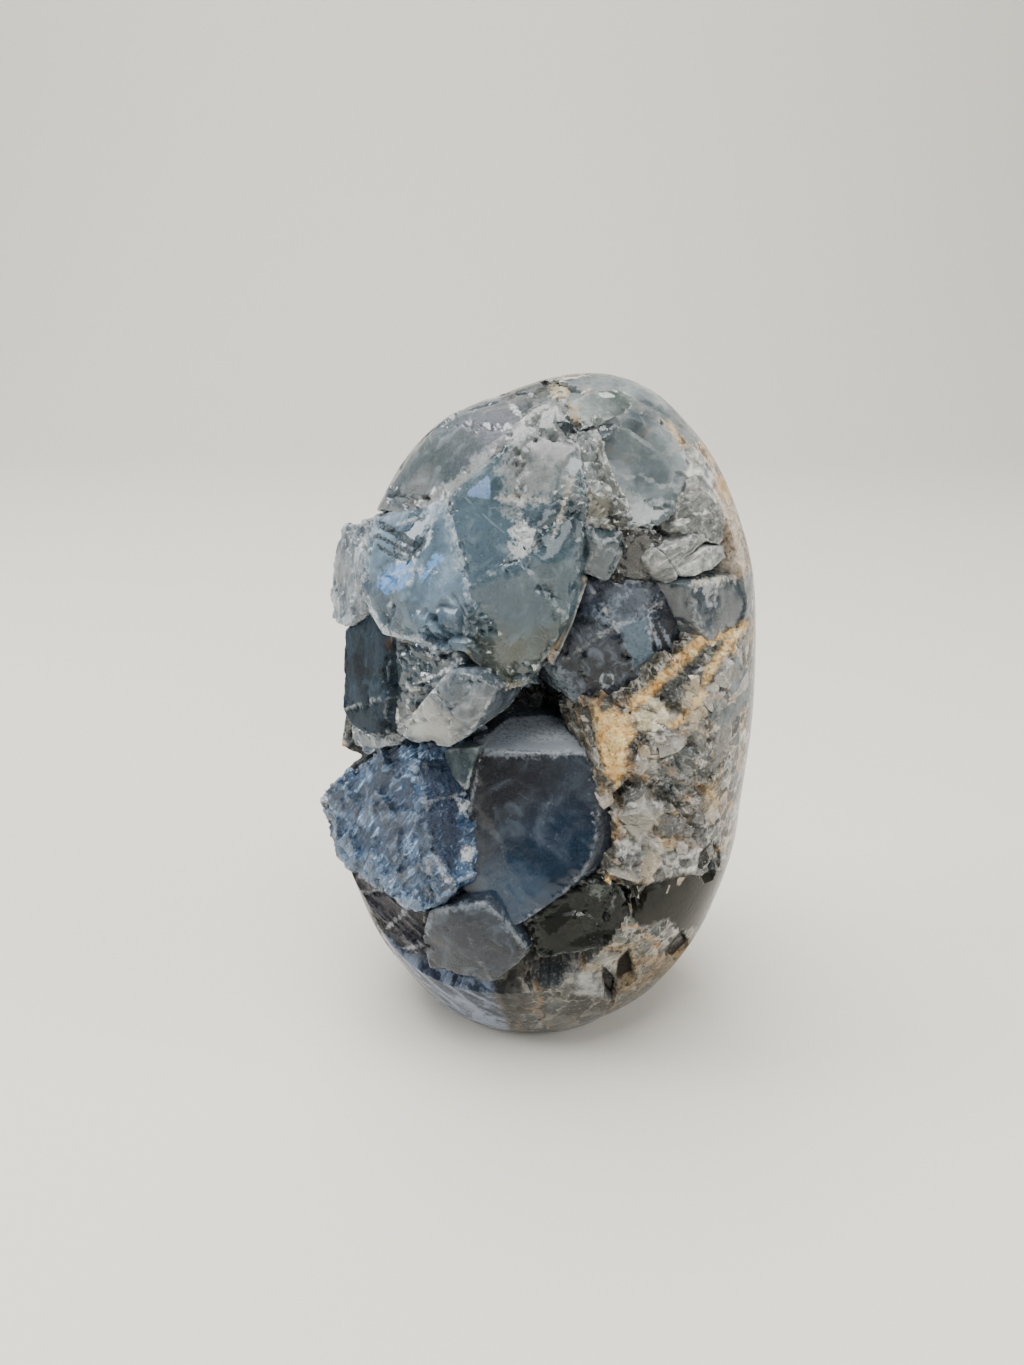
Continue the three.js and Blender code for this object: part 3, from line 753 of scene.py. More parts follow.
body = rock_finish.node("ShaderNodeValToRGB", {"stops": [
    (0.0, shade(22, 24, 23)), (0.25, shade(56, 58, 56)), (0.5, shade(98, 100, 97)),
    (0.72, shade(138, 137, 130)), (1.0, shade(214, 211, 202)),
]}, {"Fac": tone + (fine - 0.5) * 0.5})["Color"]
for share, tint in [
    (hue.ramp(0.68, 0.95, 0, 0.5), shade(118, 102, 78)),
    (hue.ramp(0.4, 0.1, 0, 0.45), shade(84, 97, 106)),
    (dust.ramp(0.52, 0.68, 0, 0.55), shade(188, 186, 178)),
    (dust.ramp(0.46, 0.32, 0, 0.4), shade(44, 44, 42)),
    (rough_here * tone.ramp(0.45, 0.1, 0, 0.6), shade(108, 107, 98)),
    (seam_line * fine.ramp(0.35, 0.6, 0.2, 0.85), shade(202, 196, 182)),
    (clay_seam * 0.7, shade(186, 146, 98)),
    (clear_patch * (0.85 - rough_here * 0.35), mottled((62, 72, 77), (118, 127, 129), 0.35, 0.68, smoke)),
    (olive, mottled((17, 18, 14), (38, 38, 32), 0.35, 0.7, smoke)),
    (lens, mottled((120, 122, 112), (170, 178, 176), 0.3, 0.7, smoke)),
    (streak, mottled((46, 54, 70), (136, 148, 168), 0.36, 0.62, streaks)),
    (white * 0.75, mottled((128, 132, 132), (222, 222, 216))),
    (cream * 0.85, mottled((196, 182, 146), (240, 232, 208))),
    (tan * dust.ramp(0.36, 0.56) * 0.85, mottled((164, 132, 90), (214, 192, 152))),
    (dusk * 0.85, mottled((18, 19, 20), (70, 74, 74))),
    (gold * 0.85, mottled((172, 140, 92), (206, 186, 150))),
    (blush * dust.ramp(0.34, 0.54, 0.3, 1) * 0.85, mottled((182, 164, 144), (216, 204, 188))),
    (clay * dust.ramp(0.36, 0.52, 0.5, 1), mottled((243, 184, 102), (255, 226, 166), 0.32, 0.62)),
    (clay * dust.ramp(0.42, 0.32, 0, 0.35), shade(160, 116, 64)),
    # Painted shade: the rock inside the hollow is painted dark.
    (hollow_shade * 0.8, mottled((30, 33, 36), (84, 88, 86))),
    # Painted shade: the pits are painted near black inside.
    (pit * 0.96, shade(22, 20, 17)),
    # Painted shade: the rock is painted darker towards the foot.
    (height.ramp(46 * MM, 8 * MM, 0, 0.66) * (1 - streak * 0.7), shade(38, 36, 31)),
]:
    body = rock_finish.mixed(share, body, tint)
powder = (clay + tan * 0.7 + blush * 0.5 + gold * 0.4).lower(1)
matt = rough_here * 0.06 + powder * 0.6 + seam_line * 0.15 + 0.12
plain = (clear_patch + olive + lens + streak).lower(1)
bumps = rock_finish.relief(seam.ramp(0.0, 0.12) * (1 - plain * 0.9), 0.1)
bumps = rock_finish.relief(slant * (1 - plain) * (rough_here * 0.9 + 0.06), 0.9, bumps)
bumps = rock_finish.relief(crumb_slant * rough_here * (1 - powder), 0.3, bumps)
bumps = rock_finish.relief(dust * (rough_here * 0.3 + powder + 0.05), 0.5, bumps)
rock_finish.surface(rock_finish.node("ShaderNodeBsdfPrincipled", {}, {
    "Base Color": body, "Roughness": matt.lower(1), "IOR": CELESTITE_IOR, "Normal": bumps,
    "Specular IOR Level": 0.1, "Subsurface Weight": 0.2, "Subsurface Radius": (0.8, 0.9, 1.0),
    "Subsurface Scale": 0.002,
})["BSDF"])
rock = set_down(bm, "celestite_rock", rock_finish, crisp=35)
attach(rock, "root")
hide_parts("celestite_cluster")


# The crystals: blocky celestite, clear to cloudy blue-grey, that grew from the hollow's rock. Each
# shows the flat faces that are given by their corners, and narrows to a root in the rock. The
# grinding rounded what stood out of the egg, and wore and chipped the edges pale.
NEAR_FLAT = 7


def grown(corners, root_depth, root_size=0.8):
    """The hull of a crystal's corners and of its root, whose near-flat faces are merged."""
    middle = sum(corners, Vector()) / len(corners)
    inward = Vector((-middle.x, -middle.y, 0)).normalized()
    root = [middle.lerp(p, root_size) + inward * root_depth for p in corners]
    bm = hull(corners + root)
    bmesh.ops.dissolve_limit(bm, angle_limit=math.radians(NEAR_FLAT), verts=bm.verts, edges=bm.edges)
    return bm


def edge_finder(bm, sharp=14, spacing=0.4):
    """Finds the nearest spot on the crystal's sharp edges."""
    spots = []
    for edge in bm.edges:
        if edge.calc_face_angle(0) > math.radians(sharp):
            a, b = (v.co for v in edge.verts)
            count = max(1, int((b - a).length / spacing))
            spots += [a.lerp(b, k / count) for k in range(count + 1)]
    finder = kdtree.KDTree(len(spots))
    for i, spot in enumerate(spots):
        finder.insert(spot, i)
    finder.balance()
    return finder


SAME_SPOT = 0.02
STEP_SIZE, STEP_COUNT, STEP_STEEPNESS = 9, 5, 4


def refined(bm, longest):
    """Splits long edges until hardly any is longer than so many millimetres."""
    bmesh.ops.remove_doubles(bm, verts=bm.verts, dist=SAME_SPOT)
    bmesh.ops.dissolve_degenerate(bm, edges=bm.edges, dist=SAME_SPOT)
    bmesh.ops.triangulate(bm, faces=bm.faces)
    passes = math.ceil(math.log2(max(edge.calc_length() for edge in bm.edges) / longest)) + 1
    for _ in range(passes):
        long = [edge for edge in bm.edges if edge.calc_length() > longest]
        bmesh.ops.subdivide_edges(bm, edges=long, cuts=1)
        bmesh.ops.triangulate(bm, faces=[face for face in bm.faces if len(face.verts) > 3])


def stepped(p, size, steps):
    """Noise between -0.5 and 0.5 that goes in flat steps with short rises, as cleavage does."""
    height = noise.noise(p / size) * steps
    level = math.floor(height)
    rise = min(1, (height - level) * STEP_STEEPNESS)
    return (level + rise * rise * (3 - 2 * rise)) / steps


def ground_off(p):
    """Brings a point that stands out of the egg back to its skin."""
    filled = fill(p)
    if filled > 1:
        row = sections(p.z)
        size = 1 / math.sqrt(filled)
        p.x = row[MIDDLE] + (p.x - row[MIDDLE]) * size
        p.y *= size


CLEAVAGE_LINE, CLEAVAGE_STRETCH = Vector((0.35, 0.2, 1)).normalized(), 0.75
FACE_REACH = 4
SPLINTER_STRETCH = 0.72
NICK_REACH, NICK_FROM, NICK_STEEPNESS = 1.6, 0.05, 3
GROUND_FROM, GROUND_TO = 0.05, HEIGHT - 0.3


def weathered(
    bm, finder, swell=0.0, steps=0.25, broken=0.0, break_size=3.5, nicks=0.7, ground=True, along=None,
    bowls=(), crumbled=(),
):
    """Swells, steps, breaks and nicks a crystal's faces, then grinds off what stands out of the egg."""
    edge_layer = bm.verts.layers.float.new("edge")
    bm.normal_update()
    for v in bm.verts:
        p = v.co.copy()
        away = finder.find(p)[2]
        inner = 1 - math.exp(-away / FACE_REACH)
        push = swell * inner
        flat = p - CLEAVAGE_LINE * p.dot(CLEAVAGE_LINE) * CLEAVAGE_STRETCH
        push += steps * stepped(flat, STEP_SIZE, STEP_COUNT) * inner
        if broken:
            drawn = p - along * p.dot(along) * SPLINTER_STRETCH if along else p
            coarse = tilted_grain(drawn, break_size, 0.35, 0.5)
            push += broken * (coarse + tilted_grain(drawn * 1.1, break_size * 0.4, 0.4, 0.1))
        for centre, radius, depth in crumbled:
            near = 1 - (p - centre).length / radius
            if near > 0:
                crumbs = tilted_grain(p, 2.8, 0.5, 0.7) + tilted_grain(p, 1.2, 0.5, 0.2) - 0.3
                push += depth * min(1, near * 2) * crumbs
        chip = noise.noise(p / 2.2) * 0.7 + noise.noise(p / 0.9) * 0.4
        if away < NICK_REACH and chip > NICK_FROM:
            push -= nicks * (NICK_REACH - away) * min(1, (chip - NICK_FROM) * NICK_STEEPNESS)
        v[edge_layer] = away
        v.co = p + v.normal * push
    for v in bm.verts if ground else ():
        v.co.z = max(GROUND_FROM, min(GROUND_TO, v.co.z))
        ground_off(v.co)
    for centre, radius in bowls:
        for v in bm.verts:
            from_centre = v.co - centre
            if from_centre.length < radius:
                v.co = centre + from_centre.normalized() * radius


def part_clear(finish, solid, clear, cloudy, absorbed, density):
    """The last nodes of a clear stone: cloudy where it is solid, with light lost on the way inside."""
    clear = finish.node("ShaderNodeBsdfPrincipled", {}, {
        **clear, "IOR": CELESTITE_IOR, "Transmission Weight": 1.0,
    })["BSDF"]
    cloudy = finish.node("ShaderNodeBsdfPrincipled", {}, {
        **cloudy, "IOR": CELESTITE_IOR, "Subsurface Radius": (0.8, 0.95, 1.0),
    })["BSDF"]
    both = finish.node("ShaderNodeMixShader", {}, {0: solid, 1: clear, 2: cloudy})["Shader"]
    inside = finish.node("ShaderNodeVolumeAbsorption", {}, {"Color": absorbed, "Density": density})["Volume"]
    finish.surface(both, inside)


WORN_EDGE = shade(196, 199, 198)
# The direction of fine scratches, and of the streaks in a painted reflection.
SCRATCH_LINE, REFLECTION_HATCH_LINE = (0.7, 0.1, 0.7), (0.6, -0.1, 0.8)


def celestite(
    name, deep, body, pale, clear=0.3, veil=0.5, wear=0.6, lumps=9, marks=(), spots=(), gloss=0.1, shine=0.5,
    density=90, glints=0.0, flake_size=1.1, drawn=(0.3, -0.2, 0.9), split=(0.5, -0.2, 0.84), cleavage=0.3,
):
    """Clear celestite clouded by veils, with pale worn edges, stains and spots of colour."""
    finish = Finish(name)
    place = finish.place()
    broad = finish.cloud(place, lumps, 3, 0.6)
    middle = finish.cloud(place, lumps * 0.4, 5, 0.9)
    fine = finish.cloud(place, 1.0, 4, 0.3)
    dust = finish.cloud(place, 0.45, 3, 0.2, 0.65)
    colour = finish.mixed(broad.ramp(0.36, 0.64), deep, body)
    for centre, radius, tint, strength in spots:
        ends = {0: place, 1: tuple(centre * MM)}
        away = finish.node("ShaderNodeVectorMath", {"operation": "DISTANCE"}, ends)["Value"]
        near = (away + (middle - 0.5) * radius * 1.2 * MM).ramp(radius * MM, radius * 0.35 * MM) * strength
        colour = finish.mixed(near, colour, tint)
    long_way = finish.drawn_out(place, drawn, 4.5)
    wisps = finish.cloud(long_way, lumps * 0.35, 5, 0.5).ramp(0.52, 0.78)
    veils = (middle.ramp(0.46, 0.78) * 0.8 + wisps * 0.5).lower(1) * veil
    planes = finish.cloud(finish.drawn_out(place, split, 0.06), 0.8, 3)
    veils = veils.higher(planes.ramp(0.6, 0.7) * broad.ramp(0.4, 0.56) * fine.ramp(0.3, 0.6) * cleavage)
    colour = finish.mixed(veils, colour, pale)
    if glints:
        values = {"Vector": long_way, "Scale": 1 / (flake_size * MM)}
        flake = finish.node("ShaderNodeTexVoronoi", {}, values)["Color"]
        flake = finish.node("ShaderNodeSeparateColor", {}, {"Color": flake})["Red"]
        splinters_and_glints = finish.cloud(finish.drawn_out(place, drawn, 6), flake_size * 0.7, 4, 0.4, 0.7)
        splinters_and_glints = splinters_and_glints + (flake - 0.5) * 0.2
        here = broad.ramp(0.4, 0.6, 0.2, 1)
        # Painted highlights: where glints is set, pale splinters are painted into the colour as glints, with
        # dark ones between them.
        colour = finish.mixed(splinters_and_glints.ramp(0.48, 0.34, 0, 0.8 * glints), colour, deep)
        colour = finish.mixed(splinters_and_glints.ramp(0.57, 0.68, 0, 0.95 * glints) * here, colour, pale)
    colour = finish.mixed(dust.ramp(0.5, 0.3, 0, 0.3), colour, deep)
    solid = veils * 0.6
    matt = fine.ramp(0.4, 0.7, 0, 0.12)
    ragged = (middle - 0.5) * 1.6 + (fine - 0.5) * 1.8 + (dust - 0.5)
    for field, tint, strength, soft in marks:
        here = (finish.field(field) + ragged * (soft * 2.6)).ramp(-soft, soft)
        here = here * dust.ramp(0.34, 0.56, 0.5, 1) * strength
        # A painted reflection is laid in as fine parallel streaks.
        if field == "hatch":
            here = here * finish.cloud(finish.drawn_out(place, REFLECTION_HATCH_LINE, 9), 0.9, 2).ramp(0.44, 0.54)
        colour = finish.mixed(here, colour, tint)
        solid = solid.higher(here)
        matt = matt + here * 0.15
    patchy = finish.cloud(place, 5, 2).ramp(0.36, 0.62)
    worn = (finish.field("edge") - (fine - 0.5) * 2.2).ramp(0.6, 0.02)
    worn = worn * patchy * dust.ramp(0.36, 0.54, 0.3, 1) * wear
    grit = dust.ramp(0.62, 0.7) * fine.ramp(0.46, 0.6) * middle.ramp(0.38, 0.6)
    worn = worn.higher(grit * (wear * 0.6))
    colour = finish.mixed(worn, colour, WORN_EDGE)
    solid = (solid.higher(worn) + (1 - clear)).lower(1)
    scratches = finish.cloud(finish.drawn_out(place, SCRATCH_LINE, 10), 0.5, 3)
    bumps = finish.relief(scratches, 0.012)
    bumps = finish.relief(finish.cloud(place, 5, 1.5, 0.5), 0.25, bumps)
    bumps = finish.relief(worn, 0.12, bumps)
    if glints:
        bumps = finish.relief(splinters_and_glints, 0.5 * glints, bumps)
    part_clear(finish, solid, {
        "Base Color": (0.92, 0.96, 0.98), "Roughness": 0.05, "Normal": bumps, "Specular IOR Level": shine,
    }, {
        "Base Color": colour, "Roughness": matt + worn * 0.3 + gloss, "Normal": bumps,
        "Specular IOR Level": shine, "Subsurface Weight": 0.25, "Subsurface Scale": 0.002,
    }, (0.55, 0.68, 0.76), density)
    return finish


HARD_EDGE = 24


def fit(bm, name, finish, longest=0.75, bevel=0.45, marks=None, **weather):
    """Bevels, refines, weathers and sets down a crystal that stands for the stone's solid there."""
    finder = edge_finder(bm)
    bmesh.ops.bevel(
        bm, geom=bm.edges, offset=bevel, offset_type="OFFSET", segments=2, profile=0.5, affect="EDGES",
        clamp_overlap=True, material=-1,
    )
    refined(bm, longest)
    weathered(bm, finder, **weather)
    bmesh.ops.recalc_face_normals(bm, faces=bm.faces)
    mark(bm, marks or {})
    piece = set_down(bm, name, finish, crisp=HARD_EDGE)
    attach(piece, "root")
    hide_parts("celestite_cluster")


# The crown: the clear dark-grey facet along the upper left, ground smooth, with a pale worn ridge
# where it meets the two great lobes.
CROWN = [
    skin(505, 396, -0.6), skin(464, 409, -0.6), skin(440, 424, -0.6), skin(409, 453, -0.6),
    skin(386, 494, -0.6), skin(376, 511, 0), skin(423, 520, 1.4), skin(446, 498, -0.4),
    skin(519, 433, -0.4), skin(556, 404, -0.2), skin(530, 390, 0), seen(464, 409, 32), seen(409, 453, 29),
    seen(384, 498, 27),
]
fit(grown(CROWN, 14, 0.9), "crown_crystal", celestite(
    "clear_crown", shade(48, 58, 61), shade(98, 110, 115), shade(158, 164, 168), clear=0.45, gloss=0.1,
    shine=0.3, wear=0.05,
    marks=[("ridge", shade(138, 138, 132), 0.55, 1.0), ("frost", shade(196, 200, 198), 0.7, 0.3)],
    spots=[
        (skin(480, 428), 9, shade(132, 134, 142), 0.85), (skin(446, 452), 7, shade(70, 82, 84), 0.7),
        (skin(412, 492), 6, shade(134, 132, 132), 0.6),
    ],
), swell=0.8, marks={
    "ridge": [stroke(20, (556, 404), (519, 433), (480, 468), (446, 498), (430, 508))],
    # The white strokes are painted glints, at the top end of the ridge and at its lower end.
    "frost": [stroke(4, (510, 404), (517, 412), (522, 420)), stroke(7, (424, 516), (446, 520))],
})

# The left lobe: a pale blue-grey mass, rounded by grinding, with dark streaks and a painted blue
# reflection crossed by streaks. Its lower edge is broken into cream flakes.
LEFT_LOBE = [
    skin(374, 515, 0), skin(373, 534, 0), skin(362, 584, 0), skin(362, 600, 0.8), skin(383, 635, 2.2),
    skin(423, 641, 2.2), skin(463, 650, 2.4), skin(469, 585, -0.2), skin(463, 567, -0.5),
    skin(446, 500, -0.5), skin(423, 516, 0), skin(398, 572, -1),
]
# The painted blue reflection on the left lobe, a patch crossed by streaks.
PAINTED_BLUE_REFLECTION = [(379, 577), (392, 566), (414, 561), (416, 572), (404, 586), (386, 596), (381, 588)]
fit(grown(LEFT_LOBE, 15, 0.9), "left_lobe", celestite(
    "pale_blue_lobe", shade(76, 96, 110), shade(128, 151, 170), shade(176, 194, 207), clear=0.45, gloss=0.2,
    split=(0.62, -0.2, 0.76), shine=0.1, veil=0.4, wear=0.5,
    marks=[
        ("dark", shade(28, 36, 38), 1.0, 0.2), ("flash", shade(80, 114, 152), 0.6, 0.5),
        ("hatch", shade(96, 148, 208), 0.75, 0.5), ("ridge", shade(150, 154, 152), 0.5, 0.7),
        ("foot", shade(196, 199, 196), 0.7, 0.6),
    ],
), swell=1.2, crumbled=[
    (skin(452, 622), 6.5, 1.1), (skin(430, 640, 2), 5, 0.9), (skin(434, 516), 2.5, 0.6),
], marks={
    "dark": [
        stroke(8, (380, 524), (394, 532), (420, 548)), stroke(6, (378, 536), (396, 546), (418, 556)),
        stroke(6, (378, 546), (392, 554), (410, 560)), [(374, 508), (390, 498), (392, 512), (380, 520)],
    ],
    "flash": [PAINTED_BLUE_REFLECTION],
    "foot": [
        stroke(5, (386, 634), (400, 638), (424, 639)), stroke(3, (364, 596), (374, 620), (386, 634)),
    ],
    "hatch": [PAINTED_BLUE_REFLECTION, stroke(9, (426, 578), (436, 558))],
    "ridge": [stroke(5, (446, 500), (452, 530), (462, 566), (468, 588))],
})

# The middle lobe: the largest crystal, teal and translucent, with a painted blue reflection in a
# triangle, painted white glints, a white cloudy patch and a ragged lower edge over the dark mouth.
MIDDLE_LOBE = [
    skin(446, 498, -0.4), skin(519, 433, -0.4), skin(556, 408, 0), skin(580, 448, 1.2), skin(587, 500, 1.8),
    skin(581, 560, 3), skin(567, 620, 4), skin(550, 653, 5.5), skin(527, 679, 6.5), skin(511, 693, 7),
    skin(496, 689, 6), skin(463, 650, 3), skin(466, 585, -0.2), skin(520, 560, -0.6),
]
fit(grown(MIDDLE_LOBE, 16, 0.9), "middle_lobe", celestite(
    "teal_lobe", shade(50, 67, 76), shade(94, 113, 122), shade(152, 165, 171), clear=0.45, gloss=0.14,
    shine=0.35, wear=0.4,
    marks=[
        ("flash", shade(98, 122, 158), 0.8, 0.2), ("frost", shade(180, 181, 178), 0.8, 0.7),
        ("glint", shade(214, 226, 234), 0.9, 0.25),
        ("cream", shade(184, 178, 160), 0.85, 0.4), ("dust", shade(110, 111, 106), 0.7, 1.3),
        ("tan", shade(146, 143, 134), 0.7, 0.3), ("crack", shade(52, 64, 66), 0.8, 0.12),
    ],
    spots=[
        (skin(530, 610, 2), 12, shade(84, 110, 122), 0.7), (skin(480, 560), 10, shade(92, 112, 126), 0.7),
        (skin(560, 570, 2), 7, shade(74, 96, 106), 0.7), (skin(496, 662, 3), 7, shade(104, 106, 88), 0.6),
        (skin(528, 656, 4), 6, shade(98, 102, 84), 0.5), (skin(560, 640, 4), 5, shade(70, 84, 78), 0.6),
    ],
), swell=1.2, crumbled=[
    (skin(468, 632, 1), 5.5, 1.1), (skin(520, 545), 3.5, 0.7), (skin(520, 682, 6), 5, 0.9),
    (skin(574, 500, 1), 4, 0.7),
], marks={
    # Painted light: the blue reflection in the triangle and the white glints at the upper right.
    "flash": [[(464, 496), (488, 474), (492, 499)]],
    "frost": [[(508, 530), (522, 524), (538, 530), (536, 548), (520, 560), (508, 562), (512, 546)]],
    "glint": [[(564, 468), (572, 456), (582, 462), (574, 478)], [(574, 440), (580, 444), (580, 452)]],
    "cream": [
        stroke(5, (463, 650), (478, 668), (496, 688)), [(500, 684), (522, 682), (514, 694), (498, 692)],
        stroke(5, (548, 548), (556, 530), (572, 478)),
    ],
    "dust": [[(519, 433), (556, 408), (584, 440), (580, 500), (540, 500), (506, 520), (498, 470)]],
    "tan": [stroke(6, (496, 498), (520, 497), (546, 501))],
    "crack": [
        stroke(3, (474, 536), (496, 532)), stroke(4, (490, 548), (494, 530)),
        stroke(3, (548, 456), (560, 470), (556, 490)),
    ],
})

# The small clear block at the far left: a split crystal, silvery and bright, with its root in the
# hollow's rim. It stands out of the egg, so it was never ground.
SIDE_BLOCK = [
    seen(368, 519, 47), seen(373, 534, 48), seen(365, 567, 48), seen(361, 590, 48), seen(368, 609, 48.5),
    seen(345, 625, 42), seen(335, 619, 39), seen(333, 592, 38.5), seen(335, 560, 38.5), seen(337, 546, 39),
    seen(342, 532, 41), seen(353, 527, 44), seen(346, 550, 30), seen(344, 608, 29),
]
fit(grown(SIDE_BLOCK, 12, 0.8), "side_block", celestite(
    "silvery_block", shade(62, 75, 86), shade(160, 174, 185), shade(240, 244, 248), clear=0.55, veil=0.7,
    density=60, glints=0.8, drawn=(0.12, 0, 1), flake_size=1.6, gloss=0.04,
), broken=0.6, break_size=3, along=Vector((0.05, 0, 1)), ground=False)

# The slate block, dark and glossy, the grey ledge under it, and the two crystals that hang beside
# it over the hollow, one with sharp pale ridges and one cloudy. Each is rooted in the rock behind.
SLATE_BLOCK = [
    seen(392, 638, 53), seen(384, 698, 51), seen(388, 736, 46), seen(371, 737, 41), seen(353, 727, 35),
    seen(343, 709, 35), seen(345, 628, 38), seen(368, 609, 46), seen(354, 640, 26), seen(353, 700, 25),
]
fit(grown(SLATE_BLOCK, 12, 0.85), "slate_block", celestite(
    "slate_crystal", shade(14, 22, 29), shade(42, 53, 62), shade(90, 103, 112), clear=0.12, veil=0.5,
    shine=0.0, drawn=(0.08, 0, 1), split=(0.9, -0.3, 0.1), cleavage=0.5, density=500, gloss=0.04, wear=0.4,
    marks=[("rust", shade(66, 50, 40), 0.6, 0.6)],
), broken=0.08, ground=False, marks={"rust": [[(383, 640), (392, 639), (391, 650), (384, 648)]]})

LEDGE = [
    seen(352, 727, 33), seen(353, 742, 32), seen(371, 754, 36), seen(386, 746, 40), seen(405, 739, 43),
    seen(400, 700, 45), seen(360, 690, 36),
]
fit(grown(LEDGE, 14, 0.9), "ledge", celestite(
    "grey_ledge", shade(70, 82, 92), shade(112, 124, 132), shade(168, 176, 180), clear=0.3,
), broken=0.4)

RIDGED_CRYSTAL = [
    skin(392, 615, 4.5), skin(455, 630, 4.5), skin(393, 640, 2.8), skin(456, 666, 1.8), skin(440, 684, 2),
    skin(421, 709, 3), skin(406, 722, 4), skin(403, 737, 6), skin(388, 736, 6), skin(384, 698, 4),
    skin(410, 690, 2.2),
]
fit(grown(RIDGED_CRYSTAL, 12, 0.9), "ridged_crystal", celestite(
    "grey_teal_crystal", shade(32, 45, 52), shade(64, 78, 85), shade(144, 154, 158), clear=0.3,
    marks=[("ridge", shade(216, 220, 222), 0.9, 0.25), ("frost", shade(230, 232, 232), 0.95, 0.4)],
), broken=0.3, marks={
    "ridge": [stroke(3, (406, 688), (430, 677), (455, 667)), stroke(3, (386, 700), (392, 660))],
    "frost": [[(389, 712), (396, 708), (400, 718), (392, 724)]],
})

PALE_PENDANT = [
    skin(430, 693, 0.3), skin(449, 671, 0.2), skin(475, 676, 0.4), skin(496, 689, 2), skin(492, 698, 2.4),
    skin(482, 716, 3), skin(468, 736, 4.5), skin(449, 747, 5.5), skin(413, 742, 6), skin(403, 736, 5),
    skin(406, 722, 3), skin(450, 712, 0.2),
]
fit(grown(PALE_PENDANT, 11, 0.85), "pale_pendant", celestite(
    "pale_crystal", shade(62, 74, 83), shade(108, 121, 131), shade(186, 193, 195), clear=0.4, veil=0.6,
    density=50,
    spots=[(skin(428, 728, 3), 8, shade(196, 196, 188), 0.8)],
), swell=0.5)

# The broken blue wedge at the lower left. The glitter of its fresh fracture is painted in as pale
# splinters and white glint spots; its lower edge is rounded and its right side is darker; the tip
# is the stone's widest point.
BLUE_WEDGE = [
    seen(323, 800, 29), seen(327, 792, 29.5), seen(345, 777, 33), seen(370, 757, 37), seen(405, 739, 41),
    seen(425, 746, 43), seen(425, 802, 47.5), seen(430, 854, 47), seen(446, 759, 40), seen(456, 792, 41),
    seen(465, 806, 42), seen(461, 857, 42.5), seen(455, 884, 45), seen(430, 907, 42.5), seen(413, 911, 40.5),
    seen(389, 890, 38.5), seen(351, 870, 31.5), seen(339, 856, 28.5), seen(325, 808, 26.5),
    seen(340, 806, 22), seen(352, 850, 22),
]
fit(grown(BLUE_WEDGE, 12, 0.85), "blue_wedge", celestite(
    "broken_blue_crystal", shade(24, 40, 60), shade(54, 84, 116), shade(168, 198, 230), clear=0.12,
    veil=0.4, lumps=6,
    marks=[
        ("shade_side", shade(16, 32, 56), 0.9, 0.5), ("frost", shade(214, 219, 223), 0.85, 0.6),
        ("smooth", shade(92, 116, 138), 0.7, 0.8),
    ],
    glints=1.0, wear=0.35, gloss=0.06, drawn=(0.45, -0.3, 0.84), shine=0.35, flake_size=0.85, density=200,
), broken=0.55, break_size=4.6, along=Vector((0.35, -0.3, 0.88)), ground=False, longest=0.6, marks={
    "shade_side": [[(426, 760), (446, 760), (458, 800), (464, 856), (446, 868), (430, 852), (425, 802)]],
    # The white spots are painted glints.
    "frost": [
        [(458, 800), (466, 802), (468, 816), (460, 812)], [(462, 848), (474, 850), (470, 862), (460, 860)],
        [(442, 874), (448, 874), (450, 882), (444, 881)], stroke(4, (324, 796), (326, 804)),
    ],
    "smooth": [stroke(8, (327, 812), (340, 850), (352, 868), (390, 888), (416, 906))],
})

# A small grey shard, clear and hardly worn, stands in the gap between the wedge and the tabular
# crystal and is rooted behind both.
SHARD = [
    seen(444, 749, 42.5), seen(478, 747, 45.5), seen(466, 790, 44.2), seen(447, 771, 43), seen(452, 800, 38),
]
fit(grown(SHARD, 12), "shard", celestite(
    "grey_shard", shade(84, 98, 103), shade(124, 138, 142), shade(186, 194, 194), clear=0.4,
), bevel=0.25, nicks=0.2)

